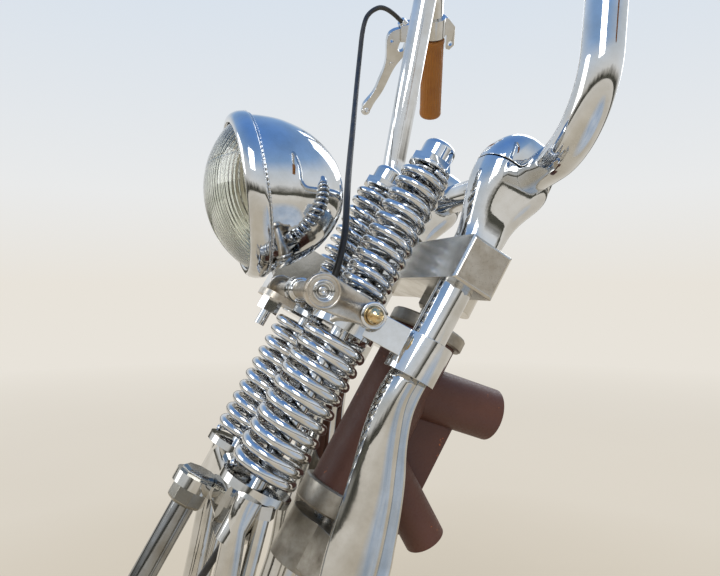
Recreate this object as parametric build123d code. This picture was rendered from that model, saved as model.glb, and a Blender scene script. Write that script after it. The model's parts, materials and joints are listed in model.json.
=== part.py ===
from build123d import *
import math
import os

# A springer front end seen from the left: millimetres, X forward, Y left, Z up.
# Everything is drawn along the steering axis first (X forward, Y left, Z up the
# axis) and leaned back by the rake at the end.

# Stance
RAKE = 30.0
STEM_X = -30.0
LEG_Y = 78.5
ROD_X = 54.0
ROD_Y = 54.9
FIT = 0.05

# Steering head, fixed to the frame
HEAD_R = 29.0
HEAD_BORE_R = 22.0
HEAD_LOW = 14.0
HEAD_HIGH = 158.0
CUP_R = 34.0
CUP_HEIGHT = 20.0
TOP_CUP_HEIGHT = 12.0
CUP_SPIGOT = 10.0
BACKBONE_DROP = 20.0
BACKBONE_Z = 112.0
BACKBONE_R = 23.0
BACKBONE_BORE_R = 18.0
BACKBONE_REACH = 92.0
DOWNTUBE_DROP = 62.0
DOWNTUBE_Z = 58.0
DOWNTUBE_Y = 19.0
DOWNTUBE_R = 17.0
DOWNTUBE_BORE_R = 13.0
DOWNTUBE_REACH = 90.0
SOCKET_DEPTH = 38.0

# Stem and crowns
STEM_R = 12.7
CROWN_TOP = -14.0
CROWN_THICK = 36.0
CROWN_BOSS_R = 31.0
CLAMP_LOW = 190.0
CLAMP_SIDE = 35.0
CLAMP_HALF = 103.7
CLAMP_X = -1.4
CLAMP_BOSS_R = 27.0
STEM_NUT_R = 19.0
STEM_NUT_H = 16.0
LOCK_NUT_H = 9.0

# Legs
UPPER_LEG_R = 13.15
BRIDGE_LOW = 122.0
BRIDGE_HIGH = 150.0
COLLAR_R = 20.0
COLLAR_LOW = 116.0
COLLAR_HIGH = 146.0
LEG_THICK = 26.0
FLANGE_THICK = 12.0
LEG_ROUND = 0.36
FRONT_LEG_THICK = 19.0
STAY_R = 5.2
STAY_TOP = -10.0
PIVOT_Z = -440.0
RIGID_PIVOT_X = -52.0
FRONT_PIVOT_X = 4.0
AXLE_X = 64.0
AXLE_Z = -456.0
EYE_R = 17.0
PIVOT_R = 8.0
ROCKER_THICK = 12.0
AXLE_R = 10.0
AXLE_END = 18.0

# Springs and rods
ROD_R = 7.0
LOWER_SPRING_R = 26.0
LOWER_WIRE_R = 4.1
LOWER_PITCH = 12.0
LOWER_SEAT = 1.0
UPPER_SPRING_R = 19.5
UPPER_WIRE_R = 2.9
UPPER_PITCH = 11.2
INNER_SPRING_R = 13.0
INNER_WIRE_R = 1.9
UPPER_TOP = 262.0
NUT_FLANGE_R = 16.7
NUT_FLANGE_H = 5.5
NUT_CAP_R = 13.0
NUT_CAP_H = 15.0
SEAT_R = 25.0
CUP_SEAT_R = 27.0
SEAT_THICK = 6.0
CROWN_BAR_LOW = -36.0
CROWN_BAR_DEPTH = 30.0

# Headlamp
LAMP_X = 159.0
LAMP_Z = 181.0
LAMP_TILT = 52.2
LAMP_R = 65.0
LAMP_DEPTH = 78.0
LAMP_WALL = 1.6
RIM_DEPTH = 13.0
LENS_BULGE = 25.0
LENS_THICK = 3.5

# Bars
BAR_R = 12.7
BAR_WALL = 2.6
BAR_X = -7.0
BAR_Z = 289.0
RISER_INSET = 29.7
RISER_HALF = 20.5
RISER_FRONT = 34.8
RISER_REAR = 24.4
RISER_TOP = 31.5
RISER_GAP = 1.0
GRIP_R = 16.5
GRIP_LENGTH = 122.0
GRIP_END = 5.0
PERCH_LENGTH = 26.0
ADJUSTER_R = 6.0
ADJUSTER_OUT = 46.0
ADJUSTER_REACH = 14.0
LEVER_HALF = 4.0
PIN_X = 5.0
PIN_OUT = 38.0
PIN_R = 2.5

# Lamp bracket
LINK_Y = 82.0
LINK_THICK = 8.0
LINK_X = 88.0
LINK_Z = 137.0
LINK_EYE_R = 12.5
LINK_TAIL_R = 8.5
LINK_BOLT_R = 6.0
BOLT_RECESS = 4.0
ACORN_X = 49.0
ACORN_Z = 140.0
ACORN_R = 7.0
ACORN_WASHER_R = 9.5
CROSS_R = 6.5
PLATE_HIGH = 126.0
PLATE_THICK = 5.0
PLATE_TIP = 112.0
PLATE_HALF = 20.0
FOOT_BOLT_X = 100.0
FOOT_BOLT_R = 4.0

# Damper in front of the crown
DAMPER_X = 82.0
DAMPER_R = 9.5
DAMPER_NUT_R = 14.8
DAMPER_TOP = -20.0
DAMPER_NUT_H = 27.0
DAMPER_LENGTH = 190.0
LUG_THICK = 9.0

# Cable
CABLE_R = 3.0
CABLE_X = 58.5
CABLE_Y = -5.0
STOP_X = 12.0
STOP_Y = -58.0
STOP_Z = -340.0


def rod(start, end, radius):
    """A round bar between two points."""
    axis = Vector(*end) - Vector(*start)
    return Plane(origin=start, z_dir=axis) * Cylinder(
        radius, axis.length, align=(Align.CENTER, Align.CENTER, Align.MIN))


def upright(x, y, low, high, radius):
    """A round bar along the steering axis."""
    return Pos(x, y, low) * Cylinder(
        radius, high - low, align=(Align.CENTER, Align.CENTER, Align.MIN))


def cross_bar(x, y_low, y_high, z, radius):
    """A round bar across the fork."""
    return rod((x, y_low, z), (x, y_high, z), radius)


def hexagon(x, y, low, high, radius):
    """A hexagon bar along the steering axis."""
    flat = Pos(x, y, low) * RegularPolygon(radius, 6)
    return extrude(flat, high - low)


def side_hex(x, y_low, y_high, z, radius):
    """A hexagon bar across the fork."""
    plane = Plane(origin=(x, y_low, z), x_dir=(1, 0, 0), z_dir=(0, 1, 0))
    return extrude(plane * RegularPolygon(radius, 6), y_high - y_low)


def mirrored(shape):
    """The same shape on the other side of the fork."""
    return mirror(shape, about=Plane.XZ)


def link_plate(points, radii, low, high, plane):
    """A flat plate round a run of circles joined by straight tangents."""
    body = None
    for here, there, r_here, r_there in zip(points, points[1:], radii, radii[1:]):
        first = Pos(*here) * Circle(r_here)
        second = Pos(*there) * Circle(r_there)
        face = make_hull(first.edges() + second.edges())
        piece = Pos(0, 0, low) * extrude(face, high - low)
        body = piece if body is None else body + piece
    return plane * body


def spring(x, y, low, high, outer_r, wire_r, pitch, left_hand=False):
    """An open coil spring of tilted half turns, each an exact arc."""
    mean_r = outer_r - wire_r
    height = high - low - 2.0 * wire_r
    halves = 2 * round(height / pitch)
    rise = height / halves
    hand = -1 if left_hand else 1
    arcs = []
    for i in range(halves):
        side = 1 if i % 2 == 0 else -1
        start = (side * mean_r, 0, i * rise)
        middle = (0, hand * side * math.hypot(mean_r, rise / 2), (i + 0.5) * rise)
        end = (-side * mean_r, 0, (i + 1) * rise)
        arcs.append(ThreePointArc(start, middle, end))
    path = Wire(arcs)
    section = Plane(origin=path @ 0, z_dir=path % 0) * Circle(wire_r)
    return Pos(x, y, low + wire_r) * sweep(section, path=path)


# Places worked out from the sizes above
BACKBONE_ANGLE = math.radians(RAKE - BACKBONE_DROP)
DOWNTUBE_ANGLE = math.radians(RAKE - DOWNTUBE_DROP)
BACKBONE_DIR = Vector(-math.cos(BACKBONE_ANGLE), 0, math.sin(BACKBONE_ANGLE))
DOWNTUBE_DIR = Vector(-math.cos(DOWNTUBE_ANGLE), 0, math.sin(DOWNTUBE_ANGLE))
BACKBONE_ROOT = Vector(STEM_X, 0, BACKBONE_Z)
BACKBONE_MOUTH = BACKBONE_ROOT + BACKBONE_DIR * BACKBONE_REACH
CLAMP_HIGH = CLAMP_LOW + CLAMP_SIDE
RISER_Y = CLAMP_HALF - RISER_INSET
CROWN_LOW = CROWN_TOP - CROWN_THICK
CUP_LOW = HEAD_LOW - CUP_HEIGHT
CUP_HIGH = HEAD_HIGH + TOP_CUP_HEIGHT
LAMP_AXIS = Vector(math.sin(math.radians(LAMP_TILT)), 0, -math.cos(math.radians(LAMP_TILT)))
LAMP_CENTRE = Vector(LAMP_X, 0, LAMP_Z)
LAMP_PLANE = Plane(origin=LAMP_CENTRE, x_dir=(0, 1, 0), z_dir=LAMP_AXIS)


# Steering head
def steering_head():
    body = upright(STEM_X, 0, HEAD_LOW, HEAD_HIGH, HEAD_R)
    body += rod(BACKBONE_ROOT, BACKBONE_MOUTH, BACKBONE_R)
    for side in (-1, 1):
        root = Vector(STEM_X, side * DOWNTUBE_Y, DOWNTUBE_Z)
        mouth = root + DOWNTUBE_DIR * DOWNTUBE_REACH
        body += rod(root, mouth, DOWNTUBE_R)
    gusset = Plane.XZ * Polygon(
        (STEM_X - 20, DOWNTUBE_Z),
        (STEM_X - 20, BACKBONE_Z),
        (STEM_X - 62, BACKBONE_Z + 4),
        (STEM_X - 62, DOWNTUBE_Z - 24),
        align=None)
    body += extrude(gusset, 5, both=True)
    body -= upright(STEM_X, 0, HEAD_LOW - 1, HEAD_HIGH + 1, HEAD_BORE_R)
    deep = BACKBONE_MOUTH - BACKBONE_DIR * SOCKET_DEPTH
    body -= rod(deep, BACKBONE_MOUTH + BACKBONE_DIR, BACKBONE_BORE_R)
    for side in (-1, 1):
        root = Vector(STEM_X, side * DOWNTUBE_Y, DOWNTUBE_Z)
        mouth = root + DOWNTUBE_DIR * DOWNTUBE_REACH
        deep = mouth - DOWNTUBE_DIR * SOCKET_DEPTH
        body -= rod(deep, mouth + DOWNTUBE_DIR, DOWNTUBE_BORE_R)
    return body


def bearing_cup(low, high, spigot_low, spigot_high):
    cup = upright(STEM_X, 0, low, high, CUP_R)
    cup = chamfer(cup.edges().filter_by(GeomType.CIRCLE), 1.5)
    cup += upright(STEM_X, 0, spigot_low, spigot_high, HEAD_BORE_R)
    bottom = min(low, spigot_low) - 1
    top = max(high, spigot_high) + 1
    cup -= upright(STEM_X, 0, bottom, top, STEM_R + FIT)
    return cup


# Stem, crown and clamp
def steering_stem():
    stem = upright(STEM_X, 0, CROWN_LOW - 4, CLAMP_HIGH + STEM_NUT_H - 3, STEM_R)
    stem -= upright(STEM_X, 0, CROWN_LOW - 5, CLAMP_HIGH + STEM_NUT_H, STEM_R - 5)
    return stem


def lower_crown():
    reach = LEG_Y - LEG_THICK / 2
    outline = [
        (STEM_X - 26, 0),
        (RIGID_PIVOT_X - 8, reach),
        (RIGID_PIVOT_X + 24, reach),
        (STEM_X + 26, 0),
        (RIGID_PIVOT_X + 24, -reach),
        (RIGID_PIVOT_X - 8, -reach),
    ]
    arms = Pos(0, 0, CROWN_LOW) * extrude(make_face(Polyline(*outline, close=True)), CROWN_THICK)
    body = arms + upright(STEM_X, 0, CROWN_LOW - 4, CROWN_TOP, CROWN_BOSS_R)
    return body - upright(STEM_X, 0, CROWN_LOW - 5, CROWN_TOP + 1, STEM_R)


def top_clamp():
    block = Pos(CLAMP_X, 0, CLAMP_LOW + CLAMP_SIDE / 2) * Box(
        CLAMP_SIDE, 2 * CLAMP_HALF, CLAMP_SIDE)
    block = chamfer(block.faces().filter_by(Axis.Y).edges(), 2.0)
    body = block + upright(STEM_X, 0, CLAMP_LOW, CLAMP_HIGH, CLAMP_BOSS_R)
    body -= upright(STEM_X, 0, CLAMP_LOW - 1, CLAMP_HIGH + 1, STEM_R)
    for side in (-1, 1):
        body -= upright(0, side * LEG_Y, CLAMP_LOW - 1, CLAMP_HIGH - 6, UPPER_LEG_R)
    return body


def stem_nut():
    nut = hexagon(STEM_X, 0, CLAMP_HIGH, CLAMP_HIGH + STEM_NUT_H, STEM_NUT_R)
    return nut - upright(STEM_X, 0, CLAMP_HIGH - 1, CLAMP_HIGH + STEM_NUT_H + 1, STEM_R)


def lock_nut():
    nut = hexagon(STEM_X, 0, CLAMP_LOW - LOCK_NUT_H, CLAMP_LOW, STEM_NUT_R)
    return nut - upright(STEM_X, 0, CLAMP_LOW - LOCK_NUT_H - 1, CLAMP_LOW + 1, STEM_R)


# Legs
def upper_leg():
    return upright(0, LEG_Y, COLLAR_LOW, CLAMP_HIGH - 6, UPPER_LEG_R)


def forged_leg(front, rear, thick, pivot_x):
    """A flat forged leg between two curved edges, rounded, with an eye below."""
    front_edge = Spline(*front)
    rear_edge = Spline(*rear)
    top = Line(front[0], rear[0])
    foot = Line(front[-1], rear[-1])
    side = Plane.XZ * make_face([front_edge, rear_edge, top, foot])
    leg = Pos(0, LEG_Y, 0) * extrude(side, thick / 2, both=True)
    long_edges = [e for e in leg.edges() if e.length > abs(PIVOT_Z) / 2]
    leg = fillet(long_edges, thick * LEG_ROUND)
    half = thick / 2
    leg += cross_bar(pivot_x, LEG_Y - half, LEG_Y + half, PIVOT_Z, EYE_R)
    return leg - cross_bar(pivot_x, LEG_Y - half - 1, LEG_Y + half + 1, PIVOT_Z, PIVOT_R)


def rigid_leg():
    x = RIGID_PIVOT_X
    front = [
        (14, COLLAR_LOW), (15, 96), (12.5, 72), (9, 55), (2.5, 24),
        (-3, -6), (-10, -34), (x + 26, -84), (x + 15, -170), (x + 12, -270), (x + 11, PIVOT_Z + 8)]
    rear = [
        (-8, COLLAR_LOW), (-8, 97), (-17, 66), (-30, 27), (-42, -20), (x - 5, -84),
        (x - 9, -170), (x - 11, -270), (x - 11, PIVOT_Z + 8)]
    flange = [
        (-15, COLLAR_LOW), (-15, 104), (-17, 90), (-24, 71), (-35, 49), (-44, 27),
        (-51, 7), (-58, -15), (x - 13, -55), (x - 14, -100), (x - 9, -160)]
    edge = Spline(*flange)
    inner = Polyline(flange[-1], (x, -160), (-22, 0), (-2, 80), (-2, COLLAR_LOW), flange[0])
    web = Plane.XZ * make_face([edge, inner])
    leg = forged_leg(front, rear, LEG_THICK, x)
    return leg + Pos(0, LEG_Y, 0) * extrude(web, FLANGE_THICK / 2, both=True)


def front_leg():
    """The front leg with the thin stay that runs down behind it."""
    x = FRONT_PIVOT_X
    front = [
        (70, seat_bottom()), (68, -22), (64, -36), (57, -58), (42, -102), (26, -158),
        (x + 13, -225), (x + 11, -300), (x + 11, PIVOT_Z + 8)]
    rear = [
        (56, seat_bottom()), (54, -20), (49, -34), (40, -58), (22, -110), (6, -166),
        (x - 8, -230), (x - 11, -300), (x - 11, PIVOT_Z + 8)]
    leg = forged_leg(front, rear, FRONT_LEG_THICK, x)
    top = (46.5, LEG_Y - 3, STAY_TOP)
    leg += rod(top, (2, LEG_Y - 3, -176), STAY_R)
    cap = Plane(origin=top, z_dir=(0.28, 0, 1)) * Pos(0, 0, -4)
    return leg + extrude(cap * RegularPolygon(STAY_R + 2.6, 6), 9)


# Rockers and axle
ROCKER_IN = LEG_Y + LEG_THICK / 2
ROCKER_OUT = ROCKER_IN + ROCKER_THICK


def rocker():
    plane = Plane(origin=(0, 0, 0), x_dir=(1, 0, 0), z_dir=(0, -1, 0))
    points = [(RIGID_PIVOT_X, PIVOT_Z), (FRONT_PIVOT_X, PIVOT_Z - 4), (AXLE_X, AXLE_Z)]
    body = link_plate(points, [18.0, 21.0, 21.0], -ROCKER_OUT, -ROCKER_IN, plane)
    for x, z, r in (
            (RIGID_PIVOT_X, PIVOT_Z, PIVOT_R),
            (FRONT_PIVOT_X, PIVOT_Z, PIVOT_R),
            (AXLE_X, AXLE_Z, AXLE_R)):
        body -= cross_bar(x, ROCKER_IN - 1, ROCKER_OUT + 1, z, r)
    return body


def pivot_stud(x):
    inner = LEG_Y - LEG_THICK / 2
    stud = cross_bar(x, inner, ROCKER_OUT + 9, PIVOT_Z, PIVOT_R)
    stud += side_hex(x, ROCKER_OUT, ROCKER_OUT + 7, PIVOT_Z, 14.0)
    return stud + side_hex(x, inner - 7, inner, PIVOT_Z, 14.0)


def axle():
    return cross_bar(AXLE_X, -ROCKER_OUT - AXLE_END, ROCKER_OUT + AXLE_END, AXLE_Z, AXLE_R)


def axle_nut():
    nut = side_hex(AXLE_X, ROCKER_OUT, ROCKER_OUT + 12, AXLE_Z, 17.0)
    return nut - cross_bar(AXLE_X, ROCKER_OUT - 1, ROCKER_OUT + 13, AXLE_Z, AXLE_R)


# Bridge between the two sets of springs
def spring_bridge():
    body = None
    for side in (-1, 1):
        collar = upright(0, side * LEG_Y, COLLAR_LOW, COLLAR_HIGH, COLLAR_R)
        seat = upright(ROD_X, side * ROD_Y, BRIDGE_LOW, BRIDGE_HIGH, SEAT_R)
        leg_end = Pos(0, side * LEG_Y) * Circle(14)
        boss_end = Pos(ROD_X - 4, side * (LEG_Y - 13)) * Circle(11)
        arm = Pos(0, 0, BRIDGE_LOW + 3) * extrude(make_hull(leg_end.edges() + boss_end.edges()), 21)
        boss = rod((ACORN_X, side * ROD_Y, ACORN_Z), (ACORN_X, side * LINK_Y, ACORN_Z), 9.5)
        part = collar + seat + arm + boss
        body = part if body is None else body + part
    body += Pos(ROD_X - 14, 0, BRIDGE_LOW + 12) * Box(16, 2 * ROD_Y, 18)
    body += Pos(ROD_X + 12, 0, PLATE_HIGH - PLATE_THICK / 2) * Box(40, 36, PLATE_THICK)
    body -= upright(CABLE_X, CABLE_Y, BRIDGE_LOW - 5, BRIDGE_HIGH, CABLE_R + 3)
    for side in (-1, 1):
        body -= upright(0, side * LEG_Y, COLLAR_LOW - 1, COLLAR_HIGH + 1, UPPER_LEG_R)
        body -= upright(ROD_X, side * ROD_Y, BRIDGE_LOW - 1, BRIDGE_HIGH + 1, ROD_R + FIT)
    return body


# Spring fork: crown and front legs in one forging
def seat_bottom():
    return LOWER_SEAT - SEAT_THICK


def spring_fork():
    low = seat_bottom()
    bar = Pos(ROD_X + 2, 0, (low + CROWN_BAR_LOW) / 2) * Box(
        CROWN_BAR_DEPTH, 2 * ROD_Y, low - CROWN_BAR_LOW)
    body = fillet(bar.edges().filter_by(Axis.Y), CROWN_BAR_DEPTH * 0.3)
    leg = front_leg()
    for side in (-1, 1):
        seat = upright(ROD_X, side * ROD_Y, low, LOWER_SEAT, CUP_SEAT_R)
        rod_end = Pos(ROD_X, side * ROD_Y) * Circle(15)
        leg_end = Pos(60, side * LEG_Y) * Circle(9)
        arm = Pos(0, 0, CROWN_BAR_LOW) * extrude(
            make_hull(rod_end.edges() + leg_end.edges()), low - CROWN_BAR_LOW)
        body = body + seat + arm + (leg if side > 0 else mirrored(leg))
    lug_z = DAMPER_TOP - LUG_THICK
    lug = Pos((DAMPER_X + ROD_X) / 2, 0, lug_z) * Box(
        DAMPER_X - ROD_X, 2 * DAMPER_NUT_R, LUG_THICK)
    body += lug + upright(DAMPER_X, 0, lug_z - LUG_THICK / 2, lug_z + LUG_THICK / 2,
                          DAMPER_NUT_R + 3)
    body -= damper_nut()
    for side in (-1, 1):
        body -= upright(ROD_X, side * ROD_Y, CROWN_BAR_LOW - 1, LOWER_SEAT + 1, ROD_R)
    return body


def damper_nut():
    low = DAMPER_TOP - DAMPER_NUT_H
    nut = Pos(DAMPER_X, 0, low) * extrude(RegularPolygon(DAMPER_NUT_R, 8), DAMPER_NUT_H)
    return chamfer(nut.edges().group_by(Axis.Z)[-1] + nut.edges().group_by(Axis.Z)[0], 2.0)


def damper():
    low = DAMPER_TOP - DAMPER_NUT_H
    return upright(DAMPER_X, 0, low - DAMPER_LENGTH, low, DAMPER_R)


def spring_rod():
    return upright(ROD_X, ROD_Y, CROWN_BAR_LOW, UPPER_TOP + 12, ROD_R)


def lower_spring():
    return spring(ROD_X, ROD_Y, LOWER_SEAT, BRIDGE_LOW, LOWER_SPRING_R, LOWER_WIRE_R,
                  LOWER_PITCH)


def upper_spring():
    return spring(ROD_X, ROD_Y, BRIDGE_HIGH, UPPER_TOP, UPPER_SPRING_R, UPPER_WIRE_R,
                  UPPER_PITCH)


def inner_spring():
    return spring(ROD_X, ROD_Y, BRIDGE_HIGH, UPPER_TOP, INNER_SPRING_R, INNER_WIRE_R,
                  UPPER_PITCH, left_hand=True)


def rod_nut():
    flange = upright(ROD_X, ROD_Y, UPPER_TOP, UPPER_TOP + 3, NUT_FLANGE_R)
    nut = hexagon(ROD_X, ROD_Y, UPPER_TOP + 3, UPPER_TOP + 3 + NUT_FLANGE_H, NUT_FLANGE_R)
    low = UPPER_TOP + 3 + NUT_FLANGE_H
    cap = upright(ROD_X, ROD_Y, low, low + NUT_CAP_H, NUT_CAP_R)
    cap = fillet(cap.edges().group_by(Axis.Z)[-1], 5)
    body = flange + nut + cap
    return body - upright(ROD_X, ROD_Y, UPPER_TOP - 1, UPPER_TOP + 12, ROD_R)


# Headlamp
def lamp_profile(inset):
    """Half outline of the shell, radius and distance behind the rim."""
    radius = LAMP_R - 3.0 - inset
    back = LAMP_DEPTH - inset
    points = [
        (radius, 0),
        (radius * 0.985, -back * 0.2),
        (radius * 0.9, -back * 0.45),
        (radius * 0.7, -back * 0.72),
        (radius * 0.38, -back * 0.93),
        (0, -back),
    ]
    return points


def lamp_shell():
    outer = Spline(*[(r, z) for r, z in lamp_profile(0)], tangents=[(0, -1), (-1, 0)])
    inner = Spline(*[(r, z) for r, z in lamp_profile(LAMP_WALL)], tangents=[(0, -1), (-1, 0)])
    rim = Line(inner @ 0, outer @ 0)
    back = Line(inner @ 1, outer @ 1)
    face = make_face([outer, inner, rim, back])
    solid = revolve(Plane.XZ * face, Axis.Z)
    return LAMP_PLANE * solid


def turned(points):
    """A turned piece on the lamp's axis from radius and distance pairs."""
    face = Plane.XZ * make_face(Polyline(*points, close=True))
    return LAMP_PLANE * revolve(face, Axis.Z)


def lamp_rim():
    r = LAMP_R
    return turned([
        (r - 3, -6), (r, -6), (r, 0), (r - 0.5, 8), (r - 2.5, RIM_DEPTH - 4),
        (r - 6, RIM_DEPTH), (r - 9, RIM_DEPTH), (r - 9, RIM_DEPTH - 3),
        (r - 5, RIM_DEPTH - 5), (r - 3, 6)])


def lamp_lens():
    r = LAMP_R - 5.2
    base = RIM_DEPTH - 6
    dome_r = (r * r + LENS_BULGE * LENS_BULGE) / (2 * LENS_BULGE)
    centre = base + LENS_BULGE - dome_r
    disc = Pos(0, 0, base - LENS_THICK) * Cylinder(
        r, LENS_BULGE + LENS_THICK, align=(Align.CENTER, Align.CENTER, Align.MIN))
    lens = disc & (Pos(0, 0, centre) * Sphere(dome_r))
    lens -= Pos(0, 0, centre - LENS_THICK) * Sphere(dome_r)
    return LAMP_PLANE * lens


# Lamp bracket
def side_link():
    eye = Pos(LINK_X, -LINK_Z) * Circle(LINK_EYE_R)
    tail = Pos(ACORN_X, -ACORN_Z) * Circle(LINK_TAIL_R)
    plate = extrude(make_hull(eye.edges() + tail.edges()), LINK_THICK)
    boss = Pos(LINK_X, -LINK_Z, 0) * Cylinder(
        LINK_EYE_R, LINK_THICK + 1.5, align=(Align.CENTER, Align.CENTER, Align.MIN))
    body = Plane(origin=(0, LINK_Y, 0), x_dir=(1, 0, 0), z_dir=(0, 1, 0)) * (plate + boss)
    for x, z, r in ((LINK_X, LINK_Z, LINK_BOLT_R), (ACORN_X, ACORN_Z, ACORN_R / 2)):
        body -= cross_bar(x, LINK_Y - 1, LINK_Y + LINK_THICK + 3, z, r)
    return body


def link_nut():
    start = LINK_Y + LINK_THICK
    washer = cross_bar(ACORN_X, start, start + 2, ACORN_Z, ACORN_WASHER_R)
    dome = cross_bar(ACORN_X, start + 2, start + 7, ACORN_Z, ACORN_R)
    dome += Pos(ACORN_X, start + ACORN_R + 1, ACORN_Z) * Sphere(ACORN_R)
    stud = cross_bar(ACORN_X, LINK_Y, start + 4, ACORN_Z, ACORN_R / 2)
    return washer + dome + stud


def cross_shaft():
    end = LINK_Y + LINK_THICK - BOLT_RECESS
    shaft = cross_bar(LINK_X, -LINK_Y, LINK_Y, LINK_Z, CROSS_R)
    shaft += cross_bar(LINK_X, -end, end, LINK_Z, LINK_BOLT_R)
    for side in (-1, 1):
        socket = Plane(origin=(LINK_X, side * end, LINK_Z), z_dir=(0, -side, 0))
        shaft -= socket * extrude(RegularPolygon(3.6, 6), 3)
        shaft += rod((LINK_X, side * 16, LINK_Z), (LINK_X, side * 20, LINK_Z), 9.0)
    return shaft


def lamp_plate():
    low = PLATE_HIGH - PLATE_THICK
    start = ROD_X + 32
    plate = Pos((PLATE_TIP + start) / 2, 0, low + PLATE_THICK / 2) * Box(
        PLATE_TIP - start, 2 * PLATE_HALF, PLATE_THICK)
    plate = fillet(plate.edges().filter_by(Axis.Z).group_by(Axis.X)[-1], 12)
    return plate - upright(FOOT_BOLT_X, 0, low - 1, PLATE_HIGH + 1, FOOT_BOLT_R)


def lamp_foot():
    low = PLATE_HIGH
    block = Pos(FOOT_BOLT_X - 4, 0, low + 22) * Box(30, 26, 44)
    around = Plane.XZ * Pos(LINK_X, LINK_Z) * Circle(LINK_Z - PLATE_HIGH)
    foot = block + extrude(around, 16, both=True)
    foot -= lamp_shell_solid()
    foot -= LAMP_PLANE * Pos(0, 0, -6) * Cylinder(
        LAMP_R, 60, align=(Align.CENTER, Align.CENTER, Align.MIN))
    foot -= cross_bar(LINK_X, -20, 20, LINK_Z, CROSS_R)
    pieces = foot.solids().sort_by(Axis.Z)
    foot = pieces[0]
    return foot - upright(FOOT_BOLT_X, 0, low - 1, low + 6, FOOT_BOLT_R)


def lamp_shell_solid():
    outer = Spline(*[(r, z) for r, z in lamp_profile(0)], tangents=[(0, -1), (-1, 0)])
    core = Line((0, 0), outer @ 1)
    rim = Line((0, 0), outer @ 0)
    face = Plane.XZ * make_face([outer, core, rim])
    return LAMP_PLANE * revolve(face, Axis.Z)


def lamp_bolt():
    low = PLATE_HIGH - PLATE_THICK
    bolt = upright(FOOT_BOLT_X, 0, low - 22, PLATE_HIGH + 6, FOOT_BOLT_R)
    return bolt + hexagon(FOOT_BOLT_X, 0, low - 10, low, 8.5)


# Risers and handlebar
def riser_section(rear, front, half, height):
    """A level section of the riser, from so far behind to so far in front of the bar."""
    return Pos(BAR_X + (front - rear) / 2, RISER_Y, height) * RectangleRounded(
        front + rear, 2 * half, half * 0.82)


def riser():
    foot = CLAMP_HIGH
    split = BAR_Z - RISER_GAP / 2
    rise = split - foot
    faces = [
        riser_section(11, 22.5, RISER_HALF * 0.8, foot),
        riser_section(12.5, 24.5, RISER_HALF * 0.72, foot + rise * 0.22),
        riser_section(15.5, 29.5, RISER_HALF * 0.8, foot + rise * 0.48),
        riser_section(RISER_REAR - 1.5, RISER_FRONT - 1, RISER_HALF * 0.95, foot + rise * 0.76),
        riser_section(RISER_REAR, RISER_FRONT, RISER_HALF, split),
    ]
    return loft(faces) - bar_solid(BAR_R)


def riser_cap():
    split = BAR_Z + RISER_GAP / 2
    faces = [
        riser_section(RISER_REAR, RISER_FRONT, RISER_HALF, split),
        riser_section(RISER_REAR - 1, RISER_FRONT - 3.5, RISER_HALF * 0.96, split + RISER_TOP * 0.45),
        riser_section(RISER_REAR - 6, RISER_FRONT - 12, RISER_HALF * 0.74, split + RISER_TOP * 0.82),
        riser_section(RISER_REAR - 14, RISER_FRONT - 23, RISER_HALF * 0.4, split + RISER_TOP),
    ]
    return loft(faces) - bar_solid(BAR_R)


BAR_HALF = [
    (BAR_X, 96, BAR_Z),
    (10, 180, 292),
    (120, 150, 585),
    (66, 266, 590),
    (-29.6, 377, 514.6),
]
BAR_BENDS = [110.0, 55.0, 45.0, 60.0]
GRIP_TIP = Vector(*BAR_HALF[-1])
GRIP_DIR = (GRIP_TIP - Vector(*BAR_HALF[-2])).normalized()


def bar_solid(radius):
    """A solid bar of that radius along the whole handlebar."""
    left = [Vector(*p) for p in BAR_HALF]
    right = [Vector(p.X, -p.Y, p.Z) for p in left]
    points = list(reversed(right)) + left
    radii = list(reversed(BAR_BENDS)) + BAR_BENDS
    path = FilletPolyline(*points, radius=radii)
    return sweep(Plane(origin=path @ 0, z_dir=path % 0) * Circle(radius), path=path)


def handlebar():
    return bar_solid(BAR_R) - bar_solid(BAR_R - BAR_WALL)


def grip():
    start = GRIP_TIP - GRIP_DIR * (GRIP_LENGTH - GRIP_END)
    end = GRIP_TIP + GRIP_DIR * GRIP_END
    body = rod(start, end, GRIP_R)
    body = fillet(body.edges().filter_by(GeomType.CIRCLE), 3)
    return body - rod(start - GRIP_DIR, GRIP_TIP, BAR_R)


# Brake lever on the right bar, drawn on the left and mirrored
LEVER_ROOT = GRIP_TIP - GRIP_DIR * (GRIP_LENGTH - GRIP_END + PERCH_LENGTH / 2 + 3)
FORWARD = Vector(math.cos(math.radians(RAKE)), 0, -math.sin(math.radians(RAKE)))
LEVER_SIDE = (FORWARD - GRIP_DIR * FORWARD.dot(GRIP_DIR)).normalized()
LEVER_PLANE = Plane(origin=LEVER_ROOT, x_dir=GRIP_DIR, z_dir=GRIP_DIR.cross(LEVER_SIDE))


def lever_pin(reach, radius):
    """The lever's pivot pin across the perch."""
    return rod(LEVER_PLANE.from_local_coords((PIN_X, PIN_OUT, -reach)),
               LEVER_PLANE.from_local_coords((PIN_X, PIN_OUT, reach)), radius)


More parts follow.
